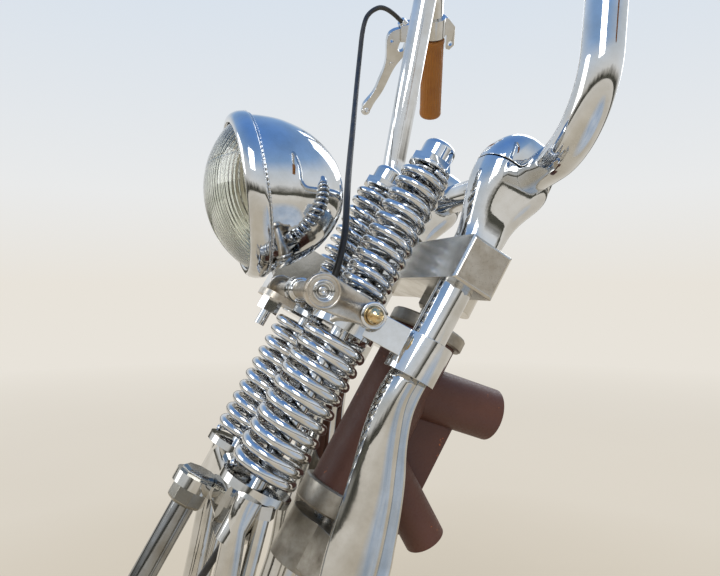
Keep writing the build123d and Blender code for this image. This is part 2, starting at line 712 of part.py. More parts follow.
def lever_perch():
    half = PERCH_LENGTH / 2
    body = rod(LEVER_ROOT - GRIP_DIR * half, LEVER_ROOT + GRIP_DIR * half, BAR_R + 4.5)
    arm = LEVER_PLANE * Polygon((-half, 0), (half, 0), (12, 48), (-10, 48), align=None)
    body += extrude(arm, 8, both=True)
    ear = LEVER_PLANE * Polygon(
        (-10, -12), (12, -12), (14, -19), (34, -19), (36, -24), (30, -31), (4, -31), (-10, -20),
        align=None)
    body += extrude(ear, 3.5, both=True)
    near = LEVER_PLANE.from_local_coords((-7, ADJUSTER_OUT - 6, 0))
    far = LEVER_PLANE.from_local_coords((-ADJUSTER_REACH, ADJUSTER_OUT, 0))
    body += rod(near, far, ADJUSTER_R)
    slot = LEVER_PLANE * Polygon((-6, 27), (60, 27), (60, 60), (-6, 60), align=None)
    body -= extrude(slot, LEVER_HALF + 0.2, both=True)
    body -= extrude(LEVER_PLANE * Pos(27, -25, 0) * Circle(3.2), 8, both=True)
    body -= bar_solid(BAR_R)
    return body + lever_pin(10, PIN_R)


def brake_lever():
    outline = LEVER_PLANE * make_face(Spline(
        (3, 31), (16, 32), (32, 41), (46, 54), (66, 66), (88, 79), (104, 91),
        (112, 98), (108, 105), (88, 93), (64, 79), (46, 71), (30, 68), (12, 67), (-1, 62),
        (-5, 50), (-3, 37),
        periodic=True))
    blade = extrude(outline, LEVER_HALF, both=True)
    slot = LEVER_PLANE * Pos(20, 46, 0) * Rot(0, 0, 20) * SlotOverall(15, 9)
    blade -= extrude(slot, 8, both=True)
    blade -= extrude(LEVER_PLANE * Pos(10, 60, 0) * Circle(2.2), 8, both=True)
    blade -= lever_pin(10, PIN_R + FIT)
    blade += LEVER_PLANE * Pos(43, 62, 0) * Cylinder(2.8, 2 * LEVER_HALF + 2)
    return blade + LEVER_PLANE * Pos(111, 101, 0) * Sphere(7)


# Brake cable, free between its two stops
CABLE_START = LEVER_PLANE.from_local_coords((-ADJUSTER_REACH, ADJUSTER_OUT, 0))
CABLE_ROUTE = [
    (CABLE_START.X, -CABLE_START.Y, CABLE_START.Z),
    (119, -271, 548),
    (134, -262, 520),
    (131, -256, 495),
    (117, -246, 456),
    (106, -208, 405),
    (95, -148, 340),
    (88, -90, 284),
    (84, -44, 240),
    (75, -17, 196),
    (61, -7, 147),
    (56, -4, 100),
    (48, -3, 55),
    (37, -3, 10),
    (34, -5, -35),
    (37, -11, -80),
    (38, -22, -140),
    (30, -38, -200),
    (20, -50, -260),
    (STOP_X, STOP_Y, STOP_Z + 30),
    (STOP_X, STOP_Y, STOP_Z),
]


def cable_stop():
    leg_face = FRONT_LEG_THICK / 2 - LEG_Y
    low = STOP_Z - 12
    reach = STOP_Y - leg_face
    tab = Pos(STOP_X, leg_face + reach / 2, low + 5) * Box(14, reach, 10)
    barrel = upright(STOP_X, STOP_Y, low - 14, STOP_Z, 6.0)
    return tab + barrel


def brake_cable():
    points = [Vector(*p) for p in CABLE_ROUTE]
    radii = []
    for a, b, c in zip(points, points[1:], points[2:]):
        turn = math.radians((b - a).get_angle(c - b))
        shorter = min((b - a).length, (c - b).length)
        radii.append(0.45 * shorter / math.tan(turn / 2))
    print("cable radii", [round(r) for r in radii])
    path = FilletPolyline(*points, radius=radii)
    section = Plane(origin=path @ 0, z_dir=path % 0) * Circle(CABLE_R)
    return sweep(section, path=path)


def place(shape):
    """From the steering axis to the finished frame."""
    turned_shape = Rot(0, -RAKE, 0) * shape
    origin = Rot(0, -RAKE, 0) * Pos(*BACKBONE_MOUTH)
    shift = origin.position
    return Pos(-shift.X, -shift.Y, -shift.Z) * turned_shape


def save(name, shape):
    os.makedirs("parts", exist_ok=True)
    export_step(place(shape), "parts/" + name + ".step")
    print(name)


SINGLE = {
    "steering_head": steering_head,
    "steering_stem": steering_stem,
    "lower_crown": lower_crown,
    "top_clamp": top_clamp,
    "stem_nut": stem_nut,
    "lock_nut": lock_nut,
    "spring_bridge": spring_bridge,
    "spring_fork": spring_fork,
    "lamp_shell": lamp_shell,
    "lamp_rim": lamp_rim,
    "lamp_lens": lamp_lens,
    "lamp_plate": lamp_plate,
    "lamp_foot": lamp_foot,
    "lamp_bolt": lamp_bolt,
    "cross_shaft": cross_shaft,
    "damper": damper,
    "damper_nut": damper_nut,
    "handlebar": handlebar,
    "axle": axle,
    "brake_cable": brake_cable,
    "cable_stop": cable_stop,
}

PAIRS = {
    "upper_leg": upper_leg,
    "rigid_leg": rigid_leg,
    "rocker": rocker,
    "axle_nut": axle_nut,
    "spring_rod": spring_rod,
    "lower_spring": lower_spring,
    "upper_spring": upper_spring,
    "inner_spring": inner_spring,
    "side_link": side_link,
    "link_nut": link_nut,
    "rod_nut": rod_nut,
    "riser": riser,
    "riser_cap": riser_cap,
    "grip": grip,
}

def extra_parts():
    made = {
        "lower_cup": bearing_cup(CUP_LOW, HEAD_LOW, HEAD_LOW, HEAD_LOW + CUP_SPIGOT),
        "upper_cup": bearing_cup(HEAD_HIGH, CUP_HIGH, HEAD_HIGH - CUP_SPIGOT, HEAD_HIGH),
        "lever_perch": mirrored(lever_perch()),
        "brake_lever": mirrored(brake_lever()),
    }
    for name, x in (("rear", RIGID_PIVOT_X), ("front", FRONT_PIVOT_X)):
        made[name + "_pivot_left"] = pivot_stud(x)
        made[name + "_pivot_right"] = mirrored(pivot_stud(x))
    return made


if __name__ == "__main__":
    for name, make in SINGLE.items():
        save(name, make())
    for name, make in PAIRS.items():
        left = make()
        save(name + "_left", left)
        save(name + "_right", mirrored(left))
    for name, shape in extra_parts().items():
        save(name, shape)
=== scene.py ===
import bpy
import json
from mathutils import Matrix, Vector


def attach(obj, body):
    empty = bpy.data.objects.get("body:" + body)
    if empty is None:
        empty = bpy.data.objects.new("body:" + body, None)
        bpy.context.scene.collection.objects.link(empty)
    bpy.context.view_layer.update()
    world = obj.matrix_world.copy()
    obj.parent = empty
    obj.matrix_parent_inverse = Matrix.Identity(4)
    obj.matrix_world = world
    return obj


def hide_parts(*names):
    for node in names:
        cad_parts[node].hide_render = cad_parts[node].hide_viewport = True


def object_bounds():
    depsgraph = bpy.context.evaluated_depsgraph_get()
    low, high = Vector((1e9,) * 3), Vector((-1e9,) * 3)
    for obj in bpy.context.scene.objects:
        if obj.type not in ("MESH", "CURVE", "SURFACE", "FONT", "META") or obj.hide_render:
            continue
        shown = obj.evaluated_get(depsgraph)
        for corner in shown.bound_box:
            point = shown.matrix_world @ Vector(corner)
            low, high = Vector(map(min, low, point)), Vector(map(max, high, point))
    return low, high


bl_info = {
    "name": "Springer Front End",
    "version": (1, 0, 0),
    "blender": (4, 5, 0),
    "location": "3D Viewport > Sidebar > Springer",
    "description": "Finishes a chopper's springer front end: plated springs, lamp, bars, cable and forgings",
    "category": "Object",
}

import json
import math

import bmesh
import bpy
from bpy.props import FloatProperty, FloatVectorProperty, PointerProperty
from mathutils import Matrix, Vector

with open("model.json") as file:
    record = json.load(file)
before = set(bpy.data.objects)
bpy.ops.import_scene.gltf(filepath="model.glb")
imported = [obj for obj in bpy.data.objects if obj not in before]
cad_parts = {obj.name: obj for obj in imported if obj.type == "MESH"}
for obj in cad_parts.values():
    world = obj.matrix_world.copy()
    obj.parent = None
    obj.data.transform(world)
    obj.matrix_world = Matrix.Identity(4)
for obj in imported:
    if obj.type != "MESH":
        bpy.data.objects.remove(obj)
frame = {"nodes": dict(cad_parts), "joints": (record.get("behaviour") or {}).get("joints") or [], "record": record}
CAD_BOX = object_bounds()
MM = 0.001

# The steering frame: X forward, Y left, Z up the stem, in metres
STEM_X = -30 * MM
HEAD_MIDDLE = 86 * MM
STEERING = frame["joints"][0]
STEM_UP = Vector(STEERING["axis"])
FORWARD = Vector((STEM_UP.z, 0, -STEM_UP.x))
LEFT = Vector((0, 1, 0))
LEAN = (
    Matrix.Translation(Vector(STEERING["pos_m"]))
    @ Matrix((FORWARD, LEFT, STEM_UP)).transposed().to_4x4()
    @ Matrix.Translation((-STEM_X, 0, -HEAD_MIDDLE))
)
UPRIGHT = LEAN.inverted()

# The lamp's own frame: Z out of the lens, Y to the left
LAMP_CENTRE = Vector((159, 0, 181)) * MM
LAMP_TILT = math.radians(52.2)
LAMP_OUT = Vector((math.sin(LAMP_TILT), 0, -math.cos(LAMP_TILT)))
LAMP = LEAN @ Matrix.Translation(LAMP_CENTRE) @ Matrix(
    (LEFT.cross(LAMP_OUT), LEFT, LAMP_OUT)
).transposed().to_4x4()

# The bar's corners on the left, and the radii of its bends
BAR_CORNERS = [(-7, 96, 289), (10, 180, 292), (120, 150, 585), (66, 266, 590), (-29.6, 377, 514.6)]
BAR_BENDS = [110, 55, 45, 60]

# The brake cable's route from the lever to its stop on the right leg
CABLE_ROUTE = [
    (89.5, -286.8, 552.0), (119, -271, 548), (134, -262, 520), (131, -256, 495),
    (117, -246, 456), (106, -208, 405), (95, -148, 340), (88, -90, 284),
    (82, -44, 240), (68, -16, 196), (60, -6, 147), (56, -4, 100),
    (48, -3, 55), (37, -3, 10), (34, -5, -35), (37, -11, -80),
    (38, -22, -140), (30, -38, -200), (20, -50, -260), (12, -58, -310),
    (12, -58, -340),
]


def steering_point(point):
    """A point in the steering frame's millimetres, in the frame that everything is in."""
    return LEAN @ (Vector(point) * MM)


def span(node):
    """A CAD node's lowest and highest corners in the steering frame, in metres."""
    points = [UPRIGHT @ v.co for v in frame["nodes"][node].data.vertices]
    low = Vector([min(p[i] for p in points) for i in range(3)])
    high = Vector([max(p[i] for p in points) for i in range(3)])
    return low, high


# Sizes and colours that a user would change
class SpringerSprings(bpy.types.PropertyGroup):
    lower_wire: FloatProperty(
        name="Lower wire", description="Diameter of the lower springs' wire", default=8.2 * MM, unit="LENGTH")
    upper_wire: FloatProperty(
        name="Upper wire", description="Diameter of the upper springs' wire", default=6.5 * MM, unit="LENGTH")
    inner_wire: FloatProperty(
        name="Inner wire", description="Diameter of the inner springs' wire", default=3.8 * MM, unit="LENGTH")
    lower_turns: FloatProperty(
        name="Lower turns", description="Turns of each lower spring with its closed ends", default=10.5)
    upper_turns: FloatProperty(
        name="Upper turns", description="Turns of each upper spring with its closed ends", default=10.75)
    inner_turns: FloatProperty(
        name="Inner turns", description="Turns of each inner spring with its closed ends", default=12.25)


class SpringerLamp(bpy.types.PropertyGroup):
    radius: FloatProperty(
        name="Rim radius", description="Outer radius of the lamp's rim", default=65 * MM, unit="LENGTH")
    depth: FloatProperty(
        name="Shell depth", description="From the mouth of the shell to its back", default=78 * MM,
        unit="LENGTH")
    flute: FloatProperty(
        name="Flute width", description="Distance between the lens's flutes", default=3.2 * MM, unit="LENGTH")


class SpringerBars(bpy.types.PropertyGroup):
    radius: FloatProperty(
        name="Bar radius", description="Outer radius of the one inch bar", default=12.7 * MM, unit="LENGTH")
    grip_radius: FloatProperty(
        name="Grip radius", description="Outer radius of the grips", default=16.5 * MM, unit="LENGTH")
    grip_length: FloatProperty(
        name="Grip length", description="Length of each grip", default=122 * MM, unit="LENGTH")
    cable: FloatProperty(
        name="Cable", description="Diameter of the brake cable's sheath", default=6 * MM, unit="LENGTH")


def linear(code):
    """An sRGB hex colour as the linear values that a shader takes."""
    parts = [int(code[i:i + 2], 16) / 255 for i in (1, 3, 5)]
    return [p / 12.92 if p <= 0.04045 else ((p + 0.055) / 1.055) ** 2.4 for p in parts] + [1.0]


class SpringerColours(bpy.types.PropertyGroup):
    floor: FloatVectorProperty(
        name="Floor", description="Colour of the studio floor", subtype="COLOR", size=4,
        default=linear("#DACFBC"))
    grip: FloatVectorProperty(
        name="Grips", description="Colour of the amber grips", subtype="COLOR", size=4,
        default=linear("#B0701A"))
    head: FloatVectorProperty(
        name="Steering head", description="Colour of the primer under the rust", subtype="COLOR", size=4,
        default=linear("#4B2A20"))


# Shader nodes
def fill(tree, node, sockets):
    """Gives each named socket of a node its value or its link."""
    for name, value in sockets.items():
        if isinstance(value, bpy.types.NodeSocket):
            tree.links.new(value, node.inputs[name])
        else:
            node.inputs[name].default_value = value


def add(tree, kind, sockets=None, stops=None, **settings):
    """Adds a node with its settings, the values and links of its sockets, and its colour stops."""
    node = tree.nodes.new(kind)
    for name, value in settings.items():
        setattr(node, name, value)
    fill(tree, node, sockets or {})
    for i, (place, colour) in enumerate(stops or []):
        if i >= len(node.color_ramp.elements):
            node.color_ramp.elements.new(place)
        stop = node.color_ramp.elements[i]
        stop.position = place
        stop.color = linear(colour) if isinstance(colour, str) else [colour] * 3 + [1.0]
    return node


def material(name, build):
    """A material by name, made once by its build function from its shader and the object's own place."""
    made = bpy.data.materials.get(name)
    if made:
        return made
    made = bpy.data.materials.new(name)
    made.use_nodes = True
    tree = made.node_tree
    shader = tree.nodes["Principled BSDF"]
    build(tree, shader, add(tree, "ShaderNodeTexCoord").outputs["Object"])
    return made


# Finishes
def plated(low, high, tint, shade):
    """Nickel and chrome plate over polished steel: a mirror with faint haze and a few rust freckles."""
    def build(tree, shader, place):
        haze = add(tree, "ShaderNodeTexNoise", {
            "Vector": place, "Scale": 1 / (26 * MM), "Detail": 5.0, "Roughness": 0.6}).outputs["Fac"]
        freckle = add(tree, "ShaderNodeTexNoise", {
            "Vector": place, "Scale": 1 / (6 * MM), "Detail": 8.0, "Roughness": 0.72}).outputs["Fac"]
        spots = add(tree, "ShaderNodeValToRGB", {"Fac": freckle}, [(0.725, 0.0), (0.75, 1.0)]).outputs[0]
        clean = add(tree, "ShaderNodeValToRGB", {"Fac": haze}, [(0.35, tint), (0.75, shade)]).outputs[0]
        colour = add(tree, "ShaderNodeMix", {0: spots, 6: clean, 7: linear("#7A4A2C")}, data_type="RGBA")
        worn = add(tree, "ShaderNodeValToRGB", {"Fac": haze}, [(0.3, low), (0.75, high)]).outputs[0]
        rough = add(tree, "ShaderNodeMix", {0: spots, 6: worn, 7: linear("#C0C0C0")}, data_type="RGBA")
        # the polisher leaves a waviness a few millimetres long that bends the reflections
        wave = add(tree, "ShaderNodeTexNoise", {
            "Vector": place, "Scale": 1 / (9 * MM), "Detail": 2.0}).outputs["Fac"]
        bent = add(tree, "ShaderNodeBump", {"Height": wave, "Distance": 0.05 * MM, "Strength": 0.6})
        fill(tree, shader, {
            "Base Color": colour.outputs[2], "Roughness": rough.outputs[2], "Normal": bent.outputs["Normal"],
            "Metallic": 1.0})
    return build


def satin(colour, smudge, rough):
    """Milled steel gone over with emery: a soft sheen across the grain, with tan smudges."""
    def build(tree, shader, place):
        lines = add(tree, "ShaderNodeMapping", {"Vector": place, "Scale": (1.0, 0.08, 1.0)}).outputs["Vector"]
        grain = add(tree, "ShaderNodeTexNoise", {
            "Vector": lines, "Scale": 1 / (0.7 * MM), "Detail": 3.0}).outputs["Fac"]
        patch = add(tree, "ShaderNodeTexNoise", {
            "Vector": place, "Scale": 1 / (13 * MM), "Detail": 7.0, "Roughness": 0.68}).outputs["Fac"]
        base = add(tree, "ShaderNodeValToRGB", {"Fac": patch}, [(0.38, colour), (0.68, smudge)])
        worn = add(tree, "ShaderNodeValToRGB", {"Fac": grain}, [(0.3, rough - 0.06), (0.7, rough + 0.1)])
        cut = add(tree, "ShaderNodeBump", {"Height": grain, "Distance": 0.02 * MM, "Strength": 0.5})
        fill(tree, shader, {
            "Base Color": base.outputs[0], "Roughness": worn.outputs[0], "Normal": cut.outputs["Normal"],
            "Metallic": 1.0})
    return build


def forged_grey(tree, shader, place):
    """Bare forged steel, wire brushed: grey-beige, dull, with darker grime in patches."""
    scale = add(tree, "ShaderNodeTexNoise", {
        "Vector": place, "Scale": 1 / (2.4 * MM), "Detail": 8.0, "Roughness": 0.6}).outputs["Fac"]
    grime = add(tree, "ShaderNodeTexNoise", {
        "Vector": place, "Scale": 1 / (24 * MM), "Detail": 6.0, "Roughness": 0.65}).outputs["Fac"]
    base = add(tree, "ShaderNodeValToRGB", {"Fac": grime}, [(0.35, "#B3ADA1"), (0.7, "#7C7366")])
    worn = add(tree, "ShaderNodeValToRGB", {"Fac": grime}, [(0.3, 0.32), (0.7, 0.5)])
    pits = add(tree, "ShaderNodeBump", {"Height": scale, "Distance": 0.07 * MM, "Strength": 0.5})
    fill(tree, shader, {
        "Base Color": base.outputs[0], "Roughness": worn.outputs[0], "Normal": pits.outputs["Normal"],
        "Metallic": 0.9})


def polished_brass(tree, shader, place):
    """Turned brass, polished, browned a little in its hollows."""
    tarnish = add(tree, "ShaderNodeTexNoise", {
        "Vector": place, "Scale": 1 / (4 * MM), "Detail": 6.0}).outputs["Fac"]
    base = add(tree, "ShaderNodeValToRGB", {"Fac": tarnish}, [(0.35, "#E9D2A2"), (0.7, "#BE9A62")])
    worn = add(tree, "ShaderNodeValToRGB", {"Fac": tarnish}, [(0.3, 0.16), (0.75, 0.34)])
    fill(tree, shader, {"Base Color": base.outputs[0], "Roughness": worn.outputs[0], "Metallic": 1.0})


def pressed_glass(tree, shader, place):
    """Pressed soda glass: clear, faintly grey-green in its thickness, under a film of dust."""
    dust = add(tree, "ShaderNodeTexNoise", {
        "Vector": place, "Scale": 1 / (9 * MM), "Detail": 5.0}).outputs["Fac"]
    film = add(tree, "ShaderNodeValToRGB", {"Fac": dust}, [(0.4, 0.02), (0.8, 0.09)])
    fill(tree, shader, {
        "Roughness": film.outputs[0], "Base Color": linear("#EEF0E8"), "Transmission Weight": 1.0,
        "IOR": 1.5})


def silvered(tree, shader, place):
    """Silvered reflector, dulled to a warm grey by age."""
    bloom = add(tree, "ShaderNodeTexNoise", {
        "Vector": place, "Scale": 1 / (12 * MM), "Detail": 5.0}).outputs["Fac"]
    base = add(tree, "ShaderNodeValToRGB", {"Fac": bloom}, [(0.3, "#E2DCCF"), (0.75, "#C2B9A8")])
    worn = add(tree, "ShaderNodeValToRGB", {"Fac": bloom}, [(0.3, 0.4), (0.8, 0.52)])
    fill(tree, shader, {"Base Color": base.outputs[0], "Roughness": worn.outputs[0], "Metallic": 1.0})


def amber_rubber(tree, shader, place):
    """Moulded amber rubber, cloudy and a little translucent, worn smooth by hands."""
    cloud = add(tree, "ShaderNodeTexNoise", {
        "Vector": place, "Scale": 1 / (18 * MM), "Detail": 5.0}).outputs["Fac"]
    grain = add(tree, "ShaderNodeTexNoise", {"Vector": place, "Scale": 1 / (0.9 * MM)}).outputs["Fac"]
    grip = list(bpy.context.scene.springer_colours.grip)
    base = add(tree, "ShaderNodeMix", {0: cloud, 6: grip, 7: linear("#8A5210")}, data_type="RGBA")
    worn = add(tree, "ShaderNodeValToRGB", {"Fac": cloud}, [(0.3, 0.34), (0.8, 0.5)])
    skin_grain = add(tree, "ShaderNodeBump", {"Height": grain, "Distance": 0.04 * MM, "Strength": 0.5})
    fill(tree, shader, {
        "Base Color": base.outputs[2], "Roughness": worn.outputs[0], "Normal": skin_grain.outputs["Normal"],
        "Subsurface Weight": 0.15, "Subsurface Radius": (6 * MM, 3 * MM, 1 * MM), "IOR": 1.52})


def vinyl_sheath(tree, shader, place):
    """Extruded black vinyl over a wound casing, satin, greyed by dust."""
    dust = add(tree, "ShaderNodeTexNoise", {
        "Vector": place, "Scale": 1 / (16 * MM), "Detail": 5.0}).outputs["Fac"]
    base = add(tree, "ShaderNodeValToRGB", {"Fac": dust}, [(0.35, "#1D1C1B"), (0.75, "#403E3A")])
    worn = add(tree, "ShaderNodeValToRGB", {"Fac": dust}, [(0.3, 0.42), (0.8, 0.6)])
    fill(tree, shader, {"Base Color": base.outputs[0], "Roughness": worn.outputs[0], "IOR": 1.53})


def rusted_primer(tree, shader, place):
    """Red-brown primer brushed on the neck, dull and gritty, chipped through to orange rust."""
    patch = add(tree, "ShaderNodeTexNoise", {
        "Vector": place, "Scale": 1 / (34 * MM), "Detail": 9.0, "Roughness": 0.68}).outputs["Fac"]
    grit = add(tree, "ShaderNodeTexNoise", {
        "Vector": place, "Scale": 1 / (1.6 * MM), "Detail": 6.0}).outputs["Fac"]
    chip = add(tree, "ShaderNodeTexNoise", {
        "Vector": place, "Scale": 1 / (15 * MM), "Detail": 5.0, "Roughness": 0.8}).outputs["Fac"]
    bare = add(tree, "ShaderNodeValToRGB", {"Fac": chip}, [(0.665, 0.0), (0.68, 1.0)]).outputs[0]
    head = list(bpy.context.scene.springer_colours.head)
    base = add(tree, "ShaderNodeMix", {0: patch, 6: head, 7: linear("#6B4030")}, data_type="RGBA")
    both = add(tree, "ShaderNodeMix", {0: bare, 6: base.outputs[2], 7: linear("#B4602C")}, data_type="RGBA")
    worn = add(tree, "ShaderNodeValToRGB", {"Fac": grit}, [(0.3, 0.4), (0.8, 0.72)])
    rough = add(tree, "ShaderNodeBump", {"Height": grit, "Distance": 0.15 * MM, "Strength": 0.6})
    fill(tree, shader, {
        "Base Color": both.outputs[2], "Roughness": worn.outputs[0], "Normal": rough.outputs["Normal"]})


FINISHES = {
    "chrome": ("bright_chrome_plate", plated(0.025, 0.11, "#DADCDE", "#C2C0BB")),
    "polished_forging": ("polished_forged_steel", plated(0.05, 0.13, "#CFCECB", "#B5B2AA")),
    "satin_steel": ("satin_milled_steel", satin("#D3CCC1", "#B3A897", 0.32)),
    "steering_steel": ("ground_stem_steel", satin("#A9A7A2", "#85817A", 0.24)),
    "grey_steel": ("brushed_forged_steel", forged_grey),
    "brass": ("polished_brass", polished_brass),
    "lens_glass": ("pressed_lens_glass", pressed_glass),
    "reflector": ("silvered_reflector", silvered),
    "grip_rubber": ("amber_grip_rubber", amber_rubber),
    "cable_black": ("black_vinyl_sheath", vinyl_sheath),
    "weathered_paint": ("rusted_red_primer", rusted_primer),
    # the clamp was rubbed with emery, so it mirrors only as a blur
    "top_clamp": ("emeried_clamp_steel", plated(0.15, 0.27, "#D6D3CC", "#B9B2A6")),
    # the damper's plate has darkened, and its nut has gone dull
    "damper": ("smoked_chrome_plate", plated(0.05, 0.16, "#A0A3A6", "#7F7B74")),
    "damper_nut": ("dull_nickel_plate", plated(0.16, 0.3, "#A8A69F", "#7D776C")),
}


def finish_of(slot):
    """The material that one of the record's slots, or one piece with its own, wears."""
    return material(*FINISHES[slot])


# Meshes
def piece(name, vertices, faces, slot, body="fork", replaces=(), finish=None):
    """A smooth mesh piece in the frame, in its finish, on its body."""
    mesh = bpy.data.meshes.new(name)
    mesh.from_pydata([tuple(v) for v in vertices], [], faces)
    shape = bmesh.new()
    shape.from_mesh(mesh)
    bmesh.ops.recalc_face_normals(shape, faces=shape.faces)
    shape.to_mesh(mesh)
    shape.free()
    mesh.shade_smooth()
    made = bpy.data.objects.new(name, mesh)
    bpy.context.scene.collection.objects.link(made)
    made.data.materials.append(finish or finish_of(slot))
    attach(made, body)
    if replaces:
        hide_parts(*replaces)


def skin(rings, closed=False):
    """Vertices and faces through rings of points that all have as many, capped unless they close."""
    count = len(rings[0])
    vertices = [p for ring in rings for p in ring]
    faces = []
    steps = len(rings) if closed else len(rings) - 1
    for i in range(steps):
        here, there = i * count, (i + 1) % len(rings) * count
        for j in range(count):
            k = (j + 1) % count
            faces.append((here + j, here + k, there + k, there + j))
    if not closed:
        faces += [tuple(reversed(range(count))), tuple(range(len(vertices) - count, len(vertices)))]
    return vertices, faces


def tube_rings(points, radii, sides):
    """Rings along a line of points, turned as little as they can be."""
    rings = []
    side = None
    for i, point in enumerate(points):
        ahead = points[min(i + 1, len(points) - 1)] - points[max(i - 1, 0)]
        along = ahead.normalized()
        if side is None:
            side = along.orthogonal().normalized()
        side = (side - along * side.dot(along)).normalized()
        across = along.cross(side)
        rings.append([
            point + radii[i] * (math.cos(a) * side + math.sin(a) * across)
            for a in (math.tau * j / sides for j in range(sides))])
    return rings


def turned(profile, place, sides):
    """Vertices and faces of a closed outline of radius and height, turned about Z and put in place."""
    angles = [math.tau * j / sides for j in range(sides)]
    return skin([[place @ Vector((r * math.cos(a), r * math.sin(a), z)) for r, z in profile] for a in angles],
                closed=True)


def eased(points, steps):
    """More points on a smooth curve through a few."""
    made = []
    for i in range(len(points) - 1):
        p0, p1 = points[max(i - 1, 0)], points[i]
        p2, p3 = points[i + 1], points[min(i + 2, len(points) - 1)]
        for s in range(steps):
            t = s / steps
            made.append(tuple(
                0.5 * (2 * b + (c - a) * t + (2 * a - 5 * b + 4 * c - d) * t ** 2
                       + (3 * b - a - 3 * c + d) * t ** 3)
                for a, b, c, d in zip(p0, p1, p2, p3)))
    return made + [tuple(points[-1])]


def bent_line(corners, radii, step):
    """Points along straight runs joined by arcs of the given radii."""
    line = [corners[0]]
    for before, corner, after, radius in zip(corners, corners[1:], corners[2:], radii):
        inward = (before - corner).normalized()
        outward = (after - corner).normalized()
        half = inward.angle(outward) / 2
        reach = radius / math.tan(half)
        centre = corner + (inward + outward).normalized() * (radius / math.sin(half))
        first = corner + inward * reach - centre
        last = corner + outward * reach - centre
        sweep = first.angle(last)
        count = max(3, math.ceil(sweep / step))
        for i in range(count + 1):
            share = i / count
            line.append(centre + (
                math.sin((1 - share) * sweep) * first + math.sin(share * sweep) * last) / math.sin(sweep))
    return line + [corners[-1]]


def on_side(spot, y, side):
    """A place at X and Z on one flank of the fork, its Z pointing out to that side."""
    flank = Matrix(((1, 0, 0), (0, 0, side), (0, -side, 0))).to_4x4()
    return LEAN @ Matrix.Translation(Vector((spot[0], side * y, spot[1])) * MM) @ flank


def lathe(name, outline, place, sides, slot, replaces=(), finish=None):
    """A turned piece from radius and height pairs in millimetres."""
    points = [(r * MM, z * MM) for r, z in outline]
    piece(name, *turned(points, place, sides), slot, replaces=replaces, finish=finish)


# Springs: a closed turn rises by its wire and a hair, and the wire's ends are ground to about half
CLOSED_RISE = 1.02
GROUND_END = 0.55
GROUND_STEPS = 12
STEPS_PER_TURN = 40


def coil_line(low, high, wire, turns, left_hand):
    """The centreline of a spring whose first and last turns close flat on its seats."""
    centre = (low + high) / 2
    mean = (high.x - low.x) / 2 - wire / 2
    bottom, top = low.z + wire / 2, high.z - wire / 2
    closed = wire * CLOSED_RISE
    pitch = (top - bottom - 2 * closed) / (turns - 2)
    line = []
    for i in range(round(turns * STEPS_PER_TURN) + 1):
        turn = i / STEPS_PER_TURN
        rise = closed * min(turn, 1) + pitch * min(max(turn - 1, 0), turns - 2)
        rise += closed * max(turn - turns + 1, 0)
        angle = math.tau * turn * (-1 if left_hand else 1)
        line.append(Vector((
            centre.x + mean * math.cos(angle), centre.y + mean * math.sin(angle), bottom + rise)))
    return line


def add_spring(node, wire, turns, left_hand=False):
    """Winds a spring in the place of its solid."""
    line = coil_line(*span(node), wire, turns, left_hand)
    last = len(line) - 1
    full = [min(1, GROUND_END + (1 - GROUND_END) * min(i, last - i) / GROUND_STEPS) for i in range(last + 1)]
    rings = tube_rings(line, [wire / 2 * share for share in full], 16)
    piece(node + "_coil", *skin([[LEAN @ p for p in ring] for ring in rings]), "chrome", replaces=[node])


class SPRINGER_OT_springs(bpy.types.Operator):
    """Winds the six springs with closed and ground ends"""

    bl_idname = "springer.springs"
    bl_label = "Springs"

    def execute(self, context):
        sizes = context.scene.springer_springs
        for side in ("left", "right"):
            add_spring("lower_spring_" + side, sizes.lower_wire, sizes.lower_turns, left_hand=True)
            add_spring("upper_spring_" + side, sizes.upper_wire, sizes.upper_turns, left_hand=True)
            add_spring("inner_spring_" + side, sizes.inner_wire, sizes.inner_turns)
        return {"FINISHED"}


# Headlamp, in millimetres in its own frame; IN is inward from the rim's outside
LAMP_SIDES = 160
SHELL_WALL = 1.6
SHELL_IN = 3
RIM_FRONT = 8
SEAM_IN = 2.4
SEAM_LOW = -7.6
LENS_IN = 5.2
LENS_BASE = 1.5
LENS_BULGE = 30.5
LENS_THICK = 3.5
LENS_POLE = 0.02
FLUTE_DEPTH = 0.3
LINE_DEPTH = 0.4
LINE_PLACE = 0.45


def shell_outline(radius, depth, inset):
    """Radius and height of the lamp's bullet shell, from its rim to its back."""
    edge, back = radius - SHELL_IN - inset, depth - inset
    shape = [(1, 0), (0.985, 0.2), (0.9, 0.45), (0.7, 0.72), (0.38, 0.93), (0.0001, 1)]
    return eased([(edge * r, -back * z) for r, z in shape], 8)


def flutes(x, y, radius, width):
    """Depth of the lens's pressed flutes: upright ones, and wider slanted ones under a line."""
    low = x < -LINE_PLACE * radius
    across = y * 0.8 + x * 0.25 if low else y
    wave = abs(math.sin(math.pi * across / (width * (1.4 if low else 1))))
    edge = 1 - (x * x + y * y) / (0.94 * radius) ** 2
    line = math.exp(-((x + LINE_PLACE * radius) / 0.8) ** 2)
    return (FLUTE_DEPTH * wave - LINE_DEPTH * line) * max(0.0, min(1.0, edge * 8))


